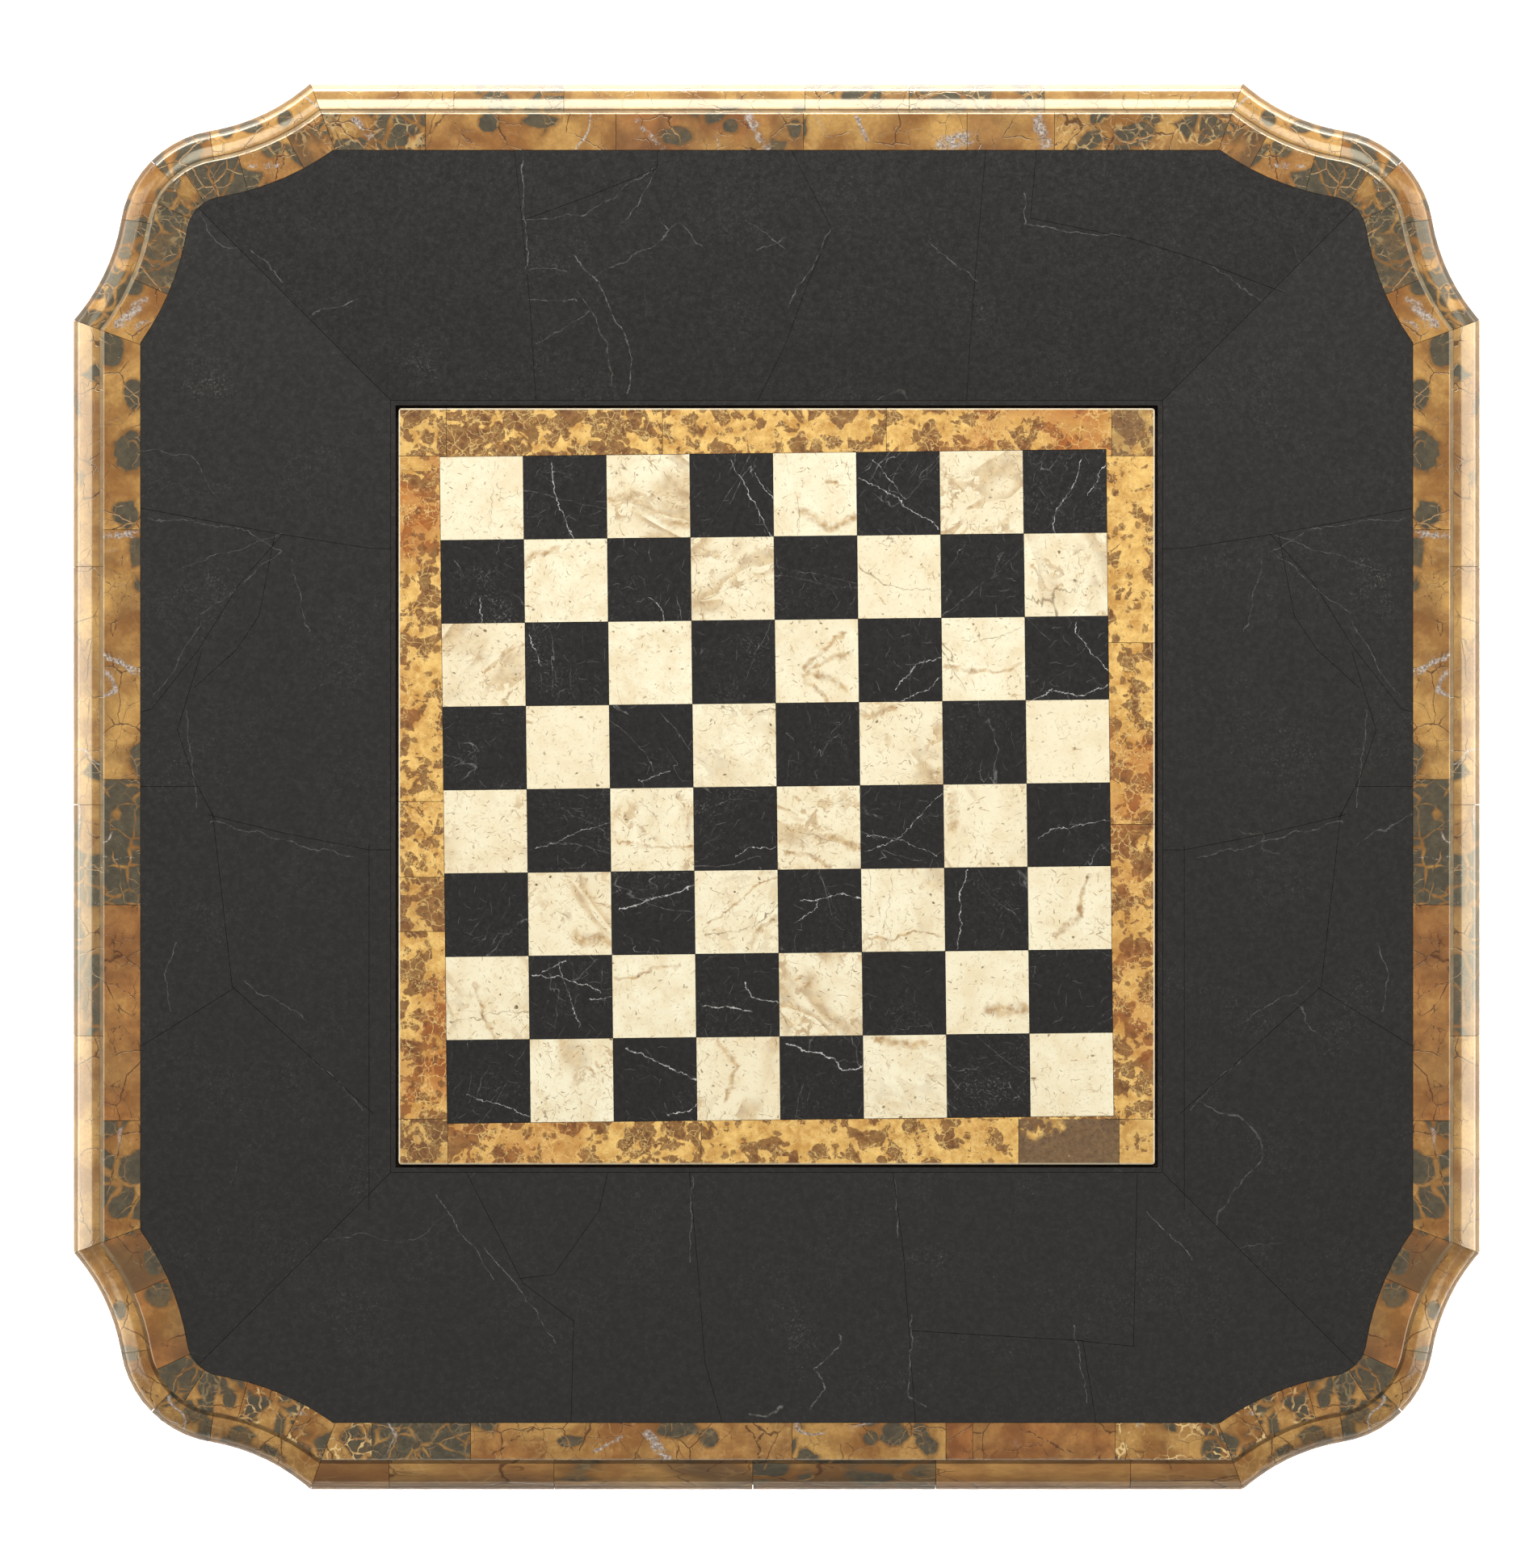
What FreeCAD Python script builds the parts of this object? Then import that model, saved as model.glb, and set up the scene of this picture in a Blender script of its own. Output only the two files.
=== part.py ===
# Pedestal game table in stone veneer, with a lift-out chess panel over a backgammon well
# Millimetres, origin on the floor under the middle of the top, +Z up, front towards -Y
import FreeCAD, Part
import math
import os
import re
import Sketcher

# Driving dimensions
SIZES = (
    ("table_height", 762),
    ("top_width", 914),
    ("corner_round_radius", 70),
    ("corner_round_inset", 100),
    ("corner_hollow_radius", 130),
    ("corner_kink_run", 154),
    ("edge_height", 42),
    ("edge_drop", 3),
    ("quirk_depth", 1.5),
    ("moulding_width", 20.5),
    ("border_width", 24),
    ("stone_thickness", 3),
    ("joint_gap", 0.3),
    ("eased_edge", 0.8),
    ("panel_width", 490),
    ("panel_thickness", 16),
    ("panel_corner_radius", 2),
    ("panel_gap", 2),
    ("felt_thickness", 1),
    ("felt_inset", 3),
    ("panel_border", 29),
    ("pattern_turn", 0.66),
    ("ledge_width", 12),
    ("floor_thickness", 12),
    ("floor_margin", 30),
    ("bar_width", 34),
    ("point_length", 185),
    ("point_gap", 1),
    ("push_hole_radius", 12),
    ("push_hole_setback", 30),
    ("rail_width", 45),
    ("rail_height", 30),
    ("bearer_width", 70),
    ("bearer_setback", 5),
    ("plate_margin", 25),
    ("plate_thickness", 4),
    ("plate_screw_radius", 2.5),
    ("plate_screw_length", 16),
    ("plate_screw_head_radius", 4.5),
    ("plate_screw_head_height", 3),
    ("plate_screw_inset", 12),
    ("plate_screw_end_inset", 35),
    ("column_width", 200),
    ("column_board_thickness", 18),
    ("column_corner_width", 26),
    ("column_block_height", 45),
    ("capital_height", 44),
    ("capital_projection", 38),
    ("capital_fillet", 6),
    ("plinth_width", 560),
    ("plinth_height", 60),
    ("plinth_round_radius", 45),
    ("plinth_round_inset", 63),
    ("plinth_hollow_radius", 80),
    ("plinth_kink_run", 96),
    ("rod_radius", 6),
    ("rod_clearance", 0.5),
    ("rod_end", 4),
    ("nut_width", 19),
    ("nut_height", 10),
    ("washer_radius", 18),
    ("washer_thickness", 2.5),
    ("counterbore_radius", 24),
    ("counterbore_depth", 26),
    ("glide_height", 12),
    ("glide_radius", 20),
    ("glide_inset", 85),
    ("overrun", 20),
)

# Lengths and heights worked out from the driving dimensions
DERIVED = {
    "stone_bed": "table_height - stone_thickness",
    "edge_underside": "table_height - edge_height",
    "ledge_top": "table_height - panel_thickness",
    "floor_underside": "edge_underside - floor_thickness",
    "rail_underside": "edge_underside - rail_height",
    "plate_underside": "rail_underside - plate_thickness",
    "opening_width": "panel_width + 2 * panel_gap",
    "core_opening": "opening_width + 2 * stone_thickness",
    "ledge_inside": "core_opening - 2 * ledge_width",
    "well_width": "ledge_inside - 2 * stone_thickness",
    "floor_width": "core_opening + 2 * floor_margin",
    "frame_inside": "floor_width + 2 * joint_gap",
    "frame_outside": "frame_inside + 2 * rail_width",
    "bearer_height": "rail_height - floor_thickness",
    "board_field": "panel_width - 2 * panel_border",
    "plinth_top": "glide_height + plinth_height",
    "plinth_bed": "plinth_top - stone_thickness",
    "column_box": "column_width - 2 * stone_thickness",
    "plate_width": "column_box + 2 * capital_projection + 2 * plate_margin",
    "bearer_reach": "plate_width / 2 - bearer_setback - bearer_width / 2",
    "column_length": "plate_underside - plinth_bed",
    "rod_hole_radius": "rod_radius + rod_clearance",
    "rod_seat": "glide_height + counterbore_depth",
    "plate_screw_spacing": "plate_width / 2 - plate_screw_inset",
    "plate_screw_reach": "plate_width / 2 - plate_screw_end_inset",
}

# Places of the stone joints, as shares of the top's width from its left or back edge
BORDER_JOINT_SHARES = {
    "back": (0.251, 0.386, 0.519, 0.635, 0.697),
    "front": (0.213, 0.283, 0.511, 0.620, 0.639, 0.740),
    "left": (0.318, 0.495, 0.584, 0.737),
    "right": (0.318, 0.495, 0.584, 0.737),
}
MOULDING_JOINT_SHARES = {
    "back": (0.271, 0.349, 0.520, 0.594, 0.690),
    "front": (0.225, 0.342, 0.483, 0.613, 0.751),
    "left": (0.344, 0.513, 0.677),
    "right": (0.344, 0.513, 0.677),
}
# Joints of the panel's frame, as shares of the panel's width from its left or back edge
PANEL_JOINT_SHARES = {
    "back": (0.063, 0.349, 0.645, 0.943),
    "front": (0.065, 0.400, 0.820, 0.953),
    "left": (0.063, 0.520, 0.620, 0.692, 0.940),
    "right": (0.063, 0.310, 0.550, 0.940),
}
# Irregular joints of the black field, as shares of the top's width from its middle
FIELD_JOINT_SHARES = (
    ((-0.187, 0.460), (-0.181, 0.405), (-0.175, 0.342), (-0.170, 0.262)),
    ((-0.181, 0.401), (-0.132, 0.419), (-0.085, 0.438), (-0.084, 0.460)),
    ((0.006, 0.460), (0.039, 0.395), (0.023, 0.359), (0.006, 0.313), (-0.019, 0.262)),
    ((0.149, 0.460), (0.142, 0.378), (0.137, 0.313), (0.134, 0.262)),
    ((0.185, 0.460), (0.180, 0.403), (0.253, 0.388), (0.297, 0.374), (0.360, 0.350)),
    ((-0.226, -0.262), (-0.180, -0.352), (-0.144, -0.379), (-0.146, -0.460)),
    ((-0.063, -0.262), (-0.055, -0.352), (-0.051, -0.408), (-0.036, -0.460)),
    ((-0.117, -0.262), (-0.126, -0.301), (-0.158, -0.346), (-0.183, -0.349)),
    ((0.081, -0.262), (0.090, -0.332), (0.099, -0.460)),
    ((0.096, -0.386), (0.217, -0.393), (0.228, -0.460)),
    ((0.256, -0.262), (0.253, -0.397), (0.214, -0.393)),
)
# Joints of the left side, which the right side repeats mirrored
SIDE_JOINT_SHARES = (
    ((-0.460, 0.199), (-0.353, 0.179), (-0.290, 0.169), (-0.262, 0.168)),
    ((-0.350, 0.179), (-0.380, 0.145), (-0.410, 0.097), (-0.443, 0.055), (-0.460, 0.050)),
    ((-0.356, 0.178), (-0.367, 0.121), (-0.383, 0.097), (-0.413, 0.070)),
    ((-0.408, 0.095), (-0.425, 0.040), (-0.414, 0.007), (-0.398, -0.024)),
    ((-0.460, 0.000), (-0.411, 0.000)),
    ((-0.403, -0.020), (-0.350, -0.033), (-0.289, -0.045), (-0.262, -0.045)),
    ((-0.289, -0.042), (-0.289, -0.232), (-0.289, -0.300)),
    ((-0.286, -0.232), (-0.386, -0.142), (-0.400, -0.019)),
    ((-0.383, -0.142), (-0.460, -0.190)),
)
# Joints of the column: heights of its courses, as shares of the stretch between the mouldings
FACE_COURSE_SHARES = (0.36, 0.71)
CORNER_COURSE_SHARES = (0.24, 0.52, 0.80)
# Joints of the plinth's black top, as shares of its width from its middle
PLINTH_JOINT_SHARES = (
    ((-0.46, 0.08), (-0.30, 0.05), (-0.10, 0.11)),
    ((0.46, -0.10), (0.31, -0.02), (0.10, -0.07)),
    ((0.09, 0.46), (0.04, 0.33), (0.07, 0.10)),
    ((-0.05, -0.46), (-0.09, -0.34), (-0.03, -0.10)),
)
# Round the convex part of a corner the border is cut at these angles from the diagonal
ROUND_JOINT_ANGLES = (-20, 12)
# Along the hollows of a corner it is cut at these shares of their run from the kink
HOLLOW_JOINT_SHARES = ((0.55,), (0.41, 0.81))

UP = FreeCAD.Vector(0, 0, 1)
SIDES = ("right", "back", "left", "front")
COUNT_OF_SQUARES = 8
POINTS_IN_A_HALF = 6

document = FreeCAD.newDocument("GameTable")
sheet = document.addObject("Spreadsheet::Sheet", "Sizes")
for row, (alias, size) in enumerate(SIZES, 1):
    sheet.set(f"A{row}", alias)
    sheet.set(f"B{row}", str(size))
    sheet.setAlias(f"B{row}", alias)
document.recompute()
ALIASES = {alias for alias, size in SIZES}
nodes = {}


def formula(words):
    """The expression for words, which may use driving and derived names."""
    def expand(match):
        word = match.group()
        if word in DERIVED:
            return "(" + formula(DERIVED[word]) + ")"
        return "Sizes." + word if word in ALIASES else word
    return re.sub(r"[a-z_]+", expand, words)


def value(words):
    """The number that words come to, in millimetres or degrees."""
    return float(sheet.evalExpression(formula(words)))


def vector(x, y, z=0):
    return FreeCAD.Vector(x, y, z)


def keep(name, piece):
    """Make a piece one of the table's named nodes."""
    piece.Label = name
    nodes[name] = piece
    return piece


def place(piece, x="0", y="0", z="0"):
    """Move a piece to a place written in formulas."""
    for axis, words in zip("xyz", (x, y, z)):
        if words != "0":
            piece.setExpression("Placement.Base." + axis, formula(words))
    return piece


def board(name, length, width, height, x="0", y="0", z="0"):
    """A rectangular board centred on x and y, with its underside at z."""
    piece = document.addObject("Part::Box", name)
    piece.setExpression("Length", formula(length))
    piece.setExpression("Width", formula(width))
    piece.setExpression("Height", formula(height))
    return place(piece, f"{x} - ({length}) / 2", f"{y} - ({width}) / 2", z)


def group(name, pieces):
    """One node of several separate solids."""
    bundle = document.addObject("Part::Compound", name)
    bundle.Links = pieces
    return keep(name, bundle)


def custom(name, shapes):
    """A node whose solids follow the outline's arcs or the joints' map."""
    feature = document.addObject("Part::Feature", name)
    feature.Shape = shapes[0] if len(shapes) == 1 else Part.makeCompound(shapes)
    return keep(name, feature)


# Sketched pieces

def sketch_on(body, name, role):
    """A sketch on one of the body's own origin planes."""
    plane = next(item for item in body.Origin.OriginFeatures if item.Role == role)
    sketch = body.newObject("Sketcher::SketchObject", name)
    sketch.AttachmentSupport = [(plane, "")]
    sketch.MapMode = "FlatFace"
    return sketch


def pin(sketch, item, end, x, y):
    """Tie one point of a sketch to formulas for its two coordinates."""
    for kind, axis, words in (("DistanceX", -2, x), ("DistanceY", -1, y)):
        if words == "0":
            sketch.addConstraint(Sketcher.Constraint("PointOnObject", item, end, axis))
        else:
            rule = Sketcher.Constraint(kind, -1, 1, item, end, value(words))
            number = sketch.addConstraint(rule)
            sketch.setExpression(f"Constraints[{number}]", formula(words))


def draw_polygon(sketch, points):
    """A closed outline of straight lines through points given as formulas."""
    corners = [vector(value(x), value(y)) for x, y in points]
    first = sketch.GeometryCount
    count = len(corners)
    for number in range(count):
        line = Part.LineSegment(corners[number], corners[(number + 1) % count])
        sketch.addGeometry(line, False)
    for number in range(count):
        following = first + (number + 1) % count
        sketch.addConstraint(Sketcher.Constraint("Coincident", first + number, 2, following, 1))
    for number, (x, y) in enumerate(points):
        pin(sketch, first + number, 1, x, y)


def draw_circle(sketch, radius, x="0", y="0"):
    """A circle whose radius and centre are formulas."""
    circle = Part.Circle(vector(value(x), value(y)), UP, value(radius))
    item = sketch.addGeometry(circle, False)
    number = sketch.addConstraint(Sketcher.Constraint("Radius", item, value(radius)))
    sketch.setExpression(f"Constraints[{number}]", formula(radius))
    pin(sketch, item, 3, x, y)


def rectangle(length, width):
    """Corner points of a centred rectangle, as formulas."""
    x = f"({length}) / 2"
    y = f"({width}) / 2"
    return ((f"-{x}", f"-{y}"), (x, f"-{y}"), (x, y), (f"-{x}", y))


def sheet_piece(name, points, thickness, holes=()):
    """A flat piece padded from one sketch, with round holes (radius, x, y)."""
    body = document.addObject("PartDesign::Body", name)
    sketch = sketch_on(body, name + "_outline", "XY_Plane")
    draw_polygon(sketch, points)
    for radius, x, y in holes:
        draw_circle(sketch, radius, x, y)
    pad = body.newObject("PartDesign::Pad", name + "_pad")
    pad.Profile = sketch
    pad.setExpression("Length", formula(thickness))
    return body


def turned(name, points):
    """A piece turned about its own upright axis from (radius, height) points."""
    body = document.addObject("PartDesign::Body", name)
    sketch = sketch_on(body, name + "_profile", "XZ_Plane")
    draw_polygon(sketch, points)
    turn = body.newObject("PartDesign::Revolution", name + "_turn")
    turn.Profile = sketch
    turn.ReferenceAxis = (sketch, ["V_Axis"])
    turn.Angle = 360
    return body


# The outline: a square whose rounded corners run out to the sides in hollows

def turn_quarter(point, quarter):
    """A point turned about the origin by so many quarter turns."""
    for step in range(quarter):
        point = vector(-point.y, point.x, point.z)
    return point


def on_circle(centre, radius, towards):
    """The point of a circle that faces another point."""
    direction = towards - centre
    return centre + direction * (radius / direction.Length)


def corner_values(kind):
    """Half width and corner sizes of the top's or the plinth's outline."""
    if kind == "top":
        names = ("top_width / 2", "corner_round_radius", "corner_round_inset",
                 "corner_hollow_radius", "corner_kink_run")
    else:
        names = ("plinth_width / 2", "plinth_round_radius", "plinth_round_inset",
                 "plinth_hollow_radius", "plinth_kink_run")
    return [value(name) for name in names]


def corner(kind, inward=0):
    """Points and centres of the first corner's three arcs, drawn inward by an offset."""
    half, round_radius, inset, hollow_radius, kink_run = corner_values(kind)
    round_centre = vector(half - inset, half - inset)
    kink = vector(half, half - kink_run)
    apart = (kink - round_centre).Length
    reach = round_radius + hollow_radius
    along = (reach ** 2 - hollow_radius ** 2 + apart ** 2) / (2 * apart)
    away = math.sqrt(reach ** 2 - along ** 2)
    direction = (kink - round_centre) * (1 / apart)
    square_to = vector(-direction.y, direction.x)
    hollow_centre = round_centre + direction * along + square_to * away
    edge = half - inward
    hollow = hollow_radius + inward
    rise = math.sqrt(hollow ** 2 - (hollow_centre.x - edge) ** 2)
    start = vector(edge, hollow_centre.y - rise)
    blend = on_circle(hollow_centre, hollow, round_centre)
    return {
        "round_centre": round_centre,
        "round_radius": round_radius - inward,
        "hollow_centre": hollow_centre,
        "hollow_radius": hollow,
        "start": start,
        "blend": blend,
    }


def mirrored(point):
    """A point of the first corner mirrored about its diagonal."""
    return vector(point.y, point.x, point.z)


def outline(kind, inward, level):
    """The closed outline drawn inward by an offset, at a height."""
    first = corner(kind, inward)
    hollow_middle = on_circle(first["hollow_centre"], first["hollow_radius"],
                              (first["start"] + first["blend"]) * 0.5)
    apex = first["round_centre"] + vector(1, 1).normalize() * first["round_radius"]
    path = (first["start"], hollow_middle, first["blend"], apex,
            mirrored(first["blend"]), mirrored(hollow_middle), mirrored(first["start"]))
    edges = []
    for quarter in range(4):
        points = [turn_quarter(point, quarter) + UP * level for point in path]
        for begin in (0, 2, 4):
            edges.append(Part.Arc(*points[begin:begin + 3]).toShape())
        beyond = turn_quarter(path[0], (quarter + 1) % 4) + UP * level
        edges.append(Part.makeLine(points[-1], beyond))
    return Part.Wire(edges)


def square_face(width, level, turn=0):
    """A square face about the origin, turned by an angle in degrees."""
    half = width / 2
    corners = [vector(-half, -half), vector(half, -half), vector(half, half), vector(-half, half)]
    face = Part.Face(Part.makePolygon(corners + corners[:1]))
    face.rotate(vector(0, 0), UP, turn)
    face.translate(UP * level)
    return face


def slab(outer, holes, height):
    """A flat slab between an outer face and the holes in it."""
    for hole in holes:
        outer = outer.cut(hole)
    return outer.extrude(UP * height)


def wedge(quarter, level, height):
    """A quarter of the plan, from the middle out past one side."""
    reach = value("top_width")
    points = [vector(0, 0), vector(reach, -reach), vector(reach, reach)]
    points = [turn_quarter(point, quarter) + UP * level for point in points]
    return Part.Face(Part.makePolygon(points + points[:1])).extrude(UP * height)


# Joints between stones

def joint_wall(begin, end, level, height):
    """A thin upright wall along a joint, which is cut out of the stone."""
    gap = value("joint_gap")
    run = end - begin
    wall = Part.makeBox(run.Length + gap, gap, height)
    wall.translate(vector(-gap / 2, -gap / 2))
    wall.rotate(vector(0, 0), UP, math.degrees(math.atan2(run.y, run.x)))
    wall.translate(begin + UP * level)
    return wall


def joint_walls(paths, level, height):
    """Walls along every stretch of every joint."""
    return [
        joint_wall(begin, end, level, height)
        for path in paths
        for begin, end in zip(path, path[1:])
    ]


def side_place(side, share, width):
    """Where a joint crosses a side: its share runs from the left or from the back."""
    if side in ("back", "front"):
        return vector((share - 0.5) * width, width / 2 if side == "back" else -width / 2)
    return vector(width / 2 if side == "right" else -width / 2, (0.5 - share) * width)


def side_joints(shares, width, depth):
    """Short joints square to each side, running inward by a depth."""
    paths = []
    for side, places in shares.items():
        inward = turn_quarter(vector(-1, 0), SIDES.index(side))
        for share in places:
            begin = side_place(side, share, width)
            paths.append((begin - inward * depth, begin + inward * depth))
    return paths


def corner_joints(kind, depth):
    """Joints round the four corners: at the kinks, in the hollows and across the round."""
    first = corner(kind)
    kink_inward = kink_direction(kind)
    start = first["start"]
    kink = (start - kink_inward * depth, start + kink_inward * (2 * depth))
    paths = [kink, tuple(mirrored(point) for point in kink)]
    centre = first["hollow_centre"]
    from_start = start - centre
    spread = from_start.getAngle(first["blend"] - centre)
    for number, shares in enumerate(HOLLOW_JOINT_SHARES):
        for share in shares:
            bearing = math.atan2(from_start.y, from_start.x) - spread * share
            inward = vector(math.cos(bearing), math.sin(bearing))
            path = (centre + inward * (first["hollow_radius"] - depth),
                    centre + inward * (first["hollow_radius"] + 2 * depth))
            paths.append(tuple(mirrored(point) for point in path) if number else path)
    for angle in ROUND_JOINT_ANGLES:
        bearing = math.radians(45 + angle)
        outward = vector(math.cos(bearing), math.sin(bearing))
        outer = first["round_centre"] + outward * (first["round_radius"] + depth)
        paths.append((outer, outer - outward * (3 * depth)))
    return [
        tuple(vector(point.x * x_way, point.y * y_way) for point in path)
        for path in paths
        for x_way in (1, -1)
        for y_way in (1, -1)
    ]


def kink_direction(kind):
    """The inward direction that halves the angle where a side meets its hollow."""
    first = corner(kind)
    from_hollow = (first["start"] - first["hollow_centre"]).normalize()
    return (from_hollow + vector(-1, 0)).normalize()


def by_side(solids, corner_reach):
    """Sort solids into the four sides and the corners by where their middle lies."""
    sorted_solids = {side: [] for side in SIDES + ("corners",)}
    for solid in solids:
        middle = solid.CenterOfMass
        x = middle.x
        y = middle.y
        if min(abs(x), abs(y)) > corner_reach:
            sorted_solids["corners"].append(solid)
        elif abs(x) > abs(y):
            sorted_solids["right" if x > 0 else "left"].append(solid)
        else:
            sorted_solids["back" if y > 0 else "front"].append(solid)
    return sorted_solids


# The rounded edge moulding, swept stretch by stretch round an outline

def nose_profile(nose_radius, drop, quirk, flange, skin, height):
    """Section points of the stone skin: (inward, below the top), arcs as three points."""
    middle = drop + nose_radius
    outer = height - drop
    inner_radius = nose_radius - skin
    return (
        ("line", (flange, drop + quirk), (nose_radius, drop + quirk)),
        ("line", (nose_radius, drop + quirk), (nose_radius, drop)),
        ("arc", (nose_radius, drop), (0, middle), (nose_radius, outer)),
        ("line", (nose_radius, outer), (flange, outer)),
        ("line", (flange, outer), (flange, outer - skin)),
        ("line", (flange, outer - skin), (nose_radius, outer - skin)),
        ("arc", (nose_radius, outer - skin), (nose_radius - inner_radius, middle),
         (nose_radius, drop + skin)),
        ("line", (nose_radius, drop + skin), (flange, drop + skin)),
        ("line", (flange, drop + skin), (flange, drop + quirk)),
    )


def nosing_profile(nose_radius, drop, flange, skin, height):
    """Section of the wooden nosing inside the stone skin."""
    middle = drop + nose_radius
    outer = height - drop - skin
    return (
        ("line", (flange, drop + skin), (nose_radius, drop + skin)),
        ("arc", (nose_radius, drop + skin), (skin, middle), (nose_radius, outer)),
        ("line", (nose_radius, outer), (flange, outer)),
        ("line", (flange, outer), (flange, drop + skin)),
    )


def section(profile, origin, inward):
    """The face of a profile at a point of the outline; its plane holds the inward direction."""
    edges = []
    for kind, *points in profile:
        placed = [origin + inward * along - UP * below for along, below in points]
        if kind == "line":
            edges.append(Part.makeLine(*placed))
        else:
            edges.append(Part.Arc(*placed).toShape())
    return Part.Face(Part.Wire(edges))


def beyond(point, direction):
    """A large block that starts at a point and reaches off in a direction."""
    reach = value("top_width")
    block = Part.makeBox(reach, 2 * reach, 4 * reach)
    block.translate(vector(0, -reach, -2 * reach))
    block.rotate(vector(0, 0), UP, math.degrees(math.atan2(direction.y, direction.x)))
    block.translate(point)
    return block


def swept_hollow(kind, profile, gap, level):
    """The moulding along the hollow beside a side, mitred at the kink."""
    first = corner(kind)
    centre = first["hollow_centre"]
    radius = first["hollow_radius"]
    overrun = math.degrees(value("overrun") / radius)
    spread = math.degrees((first["start"] - centre).getAngle(first["blend"] - centre))
    joint = math.degrees(gap / 2 / radius)
    inward = (first["blend"] - centre).normalize()
    face = section(profile, first["blend"] + UP * level, inward)
    way = 1 if (first["start"] - centre).cross(first["blend"] - centre).z < 0 else -1
    face.rotate(centre, UP, way * joint)
    solid = face.revolve(centre, UP, way * (spread + overrun - joint))
    mitre = kink_direction(kind)
    backward = vector(mitre.y, -mitre.x)
    if backward.y > 0:
        backward = backward * -1
    return solid.cut(beyond(first["start"] - backward * (gap / 2), backward))


def swept_round(kind, profile, gap, level, begin_share, end_share):
    """The moulding along a share of the round part of a corner."""
    first = corner(kind)
    centre = first["round_centre"]
    begin = first["blend"] - centre
    end = mirrored(first["blend"]) - centre
    spread = math.degrees(begin.getAngle(end))
    joint = math.degrees(gap / 2 / first["round_radius"])
    face = section(profile, first["blend"] + UP * level, begin.normalize() * -1)
    face.rotate(centre, UP, spread * begin_share + joint)
    return face.revolve(centre, UP, spread * (end_share - begin_share) - 2 * joint)


def swept_side(kind, profile, gap, level, joints):
    """The moulding along the right side, cut at its joints and mitred at both kinks."""
    half = corner_values(kind)[0]
    first = corner(kind)
    end = first["start"].y
    overrun = value("overrun")
    places = [-end - overrun] + sorted(joints) + [end + overrun]
    mitre = kink_direction(kind)
    forward = vector(-mitre.y, mitre.x)
    if forward.y < 0:
        forward = forward * -1
    upper = beyond(first["start"] - forward * (gap / 2), forward)
    backward = vector(forward.x, -forward.y)
    corner_below = vector(first["start"].x, -end)
    lower = beyond(corner_below - backward * (gap / 2), backward)
    solids = []
    for low, high in zip(places, places[1:]):
        face = section(profile, vector(half, low + gap / 2, level), vector(-1, 0))
        solids.append(face.extrude(vector(0, high - low - gap)))
    solids[0] = solids[0].cut(lower)
    solids[-1] = solids[-1].cut(upper)
    return solids


def turned_copies(shape, quarter):
    copy = shape.copy()
    copy.rotate(vector(0, 0), UP, 90 * quarter)
    return copy


def mirror_about_diagonal(shape):
    """A shape of the first corner mirrored about that corner's diagonal."""
    return shape.mirror(vector(0, 0), vector(1, -1).normalize())


def corner_moulding(kind, profile, gap, level):
    """The moulding pieces of all four corners: two hollows and two half rounds each."""
    hollow = swept_hollow(kind, profile, gap, level)
    rounds = [swept_round(kind, profile, gap, level, *shares) for shares in ((0, 0.5), (0.5, 1))]
    pieces = [hollow, mirror_about_diagonal(hollow)] + rounds
    return [turned_copies(piece, quarter) for piece in pieces for quarter in range(4)]


def side_moulding(kind, profile, gap, level, side, shares):
    """The moulding pieces of one side."""
    width = 2 * corner_values(kind)[0]
    quarter = SIDES.index(side)
    joints = []
    for share in shares:
        point = turn_quarter(side_place(side, share, width), (4 - quarter) % 4)
        joints.append(point.y)
    return [
        turned_copies(solid, quarter)
        for solid in swept_side(kind, profile, gap, level, joints)
    ]


# The top

def make_top_cores():
    """Four mitred boards round the panel's opening."""
    level = value("edge_underside")
    height = value("stone_bed - edge_underside")
    outer = Part.Face(outline("top", value("moulding_width"), level))
    ring = slab(outer, [square_face(value("core_opening"), level)], height)
    for quarter, side in enumerate(SIDES):
        quarter_ring = ring.common(wedge(quarter, level, height))
        custom("top_core_" + side, quarter_ring.Solids)


def make_edge_moulding():
    """Wooden nosing on the core's edge, with the rounded stone tiles over it."""
    level = value("table_height")
    nose_radius = value("edge_height / 2 - edge_drop")
    drop = value("edge_drop")
    flange = value("moulding_width")
    skin = value("stone_thickness")
    height = value("edge_height")
    gap = value("joint_gap")
    wood = nosing_profile(nose_radius, drop, flange, skin, height)
    nosing = corner_moulding("top", wood, 0, level)
    for side in SIDES:
        nosing += side_moulding("top", wood, 0, level, side, ())
    custom("edge_nosing", nosing)
    stone = nose_profile(nose_radius, drop, value("quirk_depth"), flange, skin, height)
    custom("moulding_stone_corners", corner_moulding("top", stone, gap, level))
    for side in SIDES:
        shares = MOULDING_JOINT_SHARES[side]
        custom("moulding_stone_" + side, side_moulding("top", stone, gap, level, side, shares))


def eased(solid, top, size):
    """A slab with its outermost upper edges chamfered."""
    wires = [face for face in solid.Faces if abs(face.CenterOfMass.z - top) < size / 2]
    rim = max(wires, key=lambda face: face.Area).OuterWire
    return solid.makeChamfer(size, rim.Edges)


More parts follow.
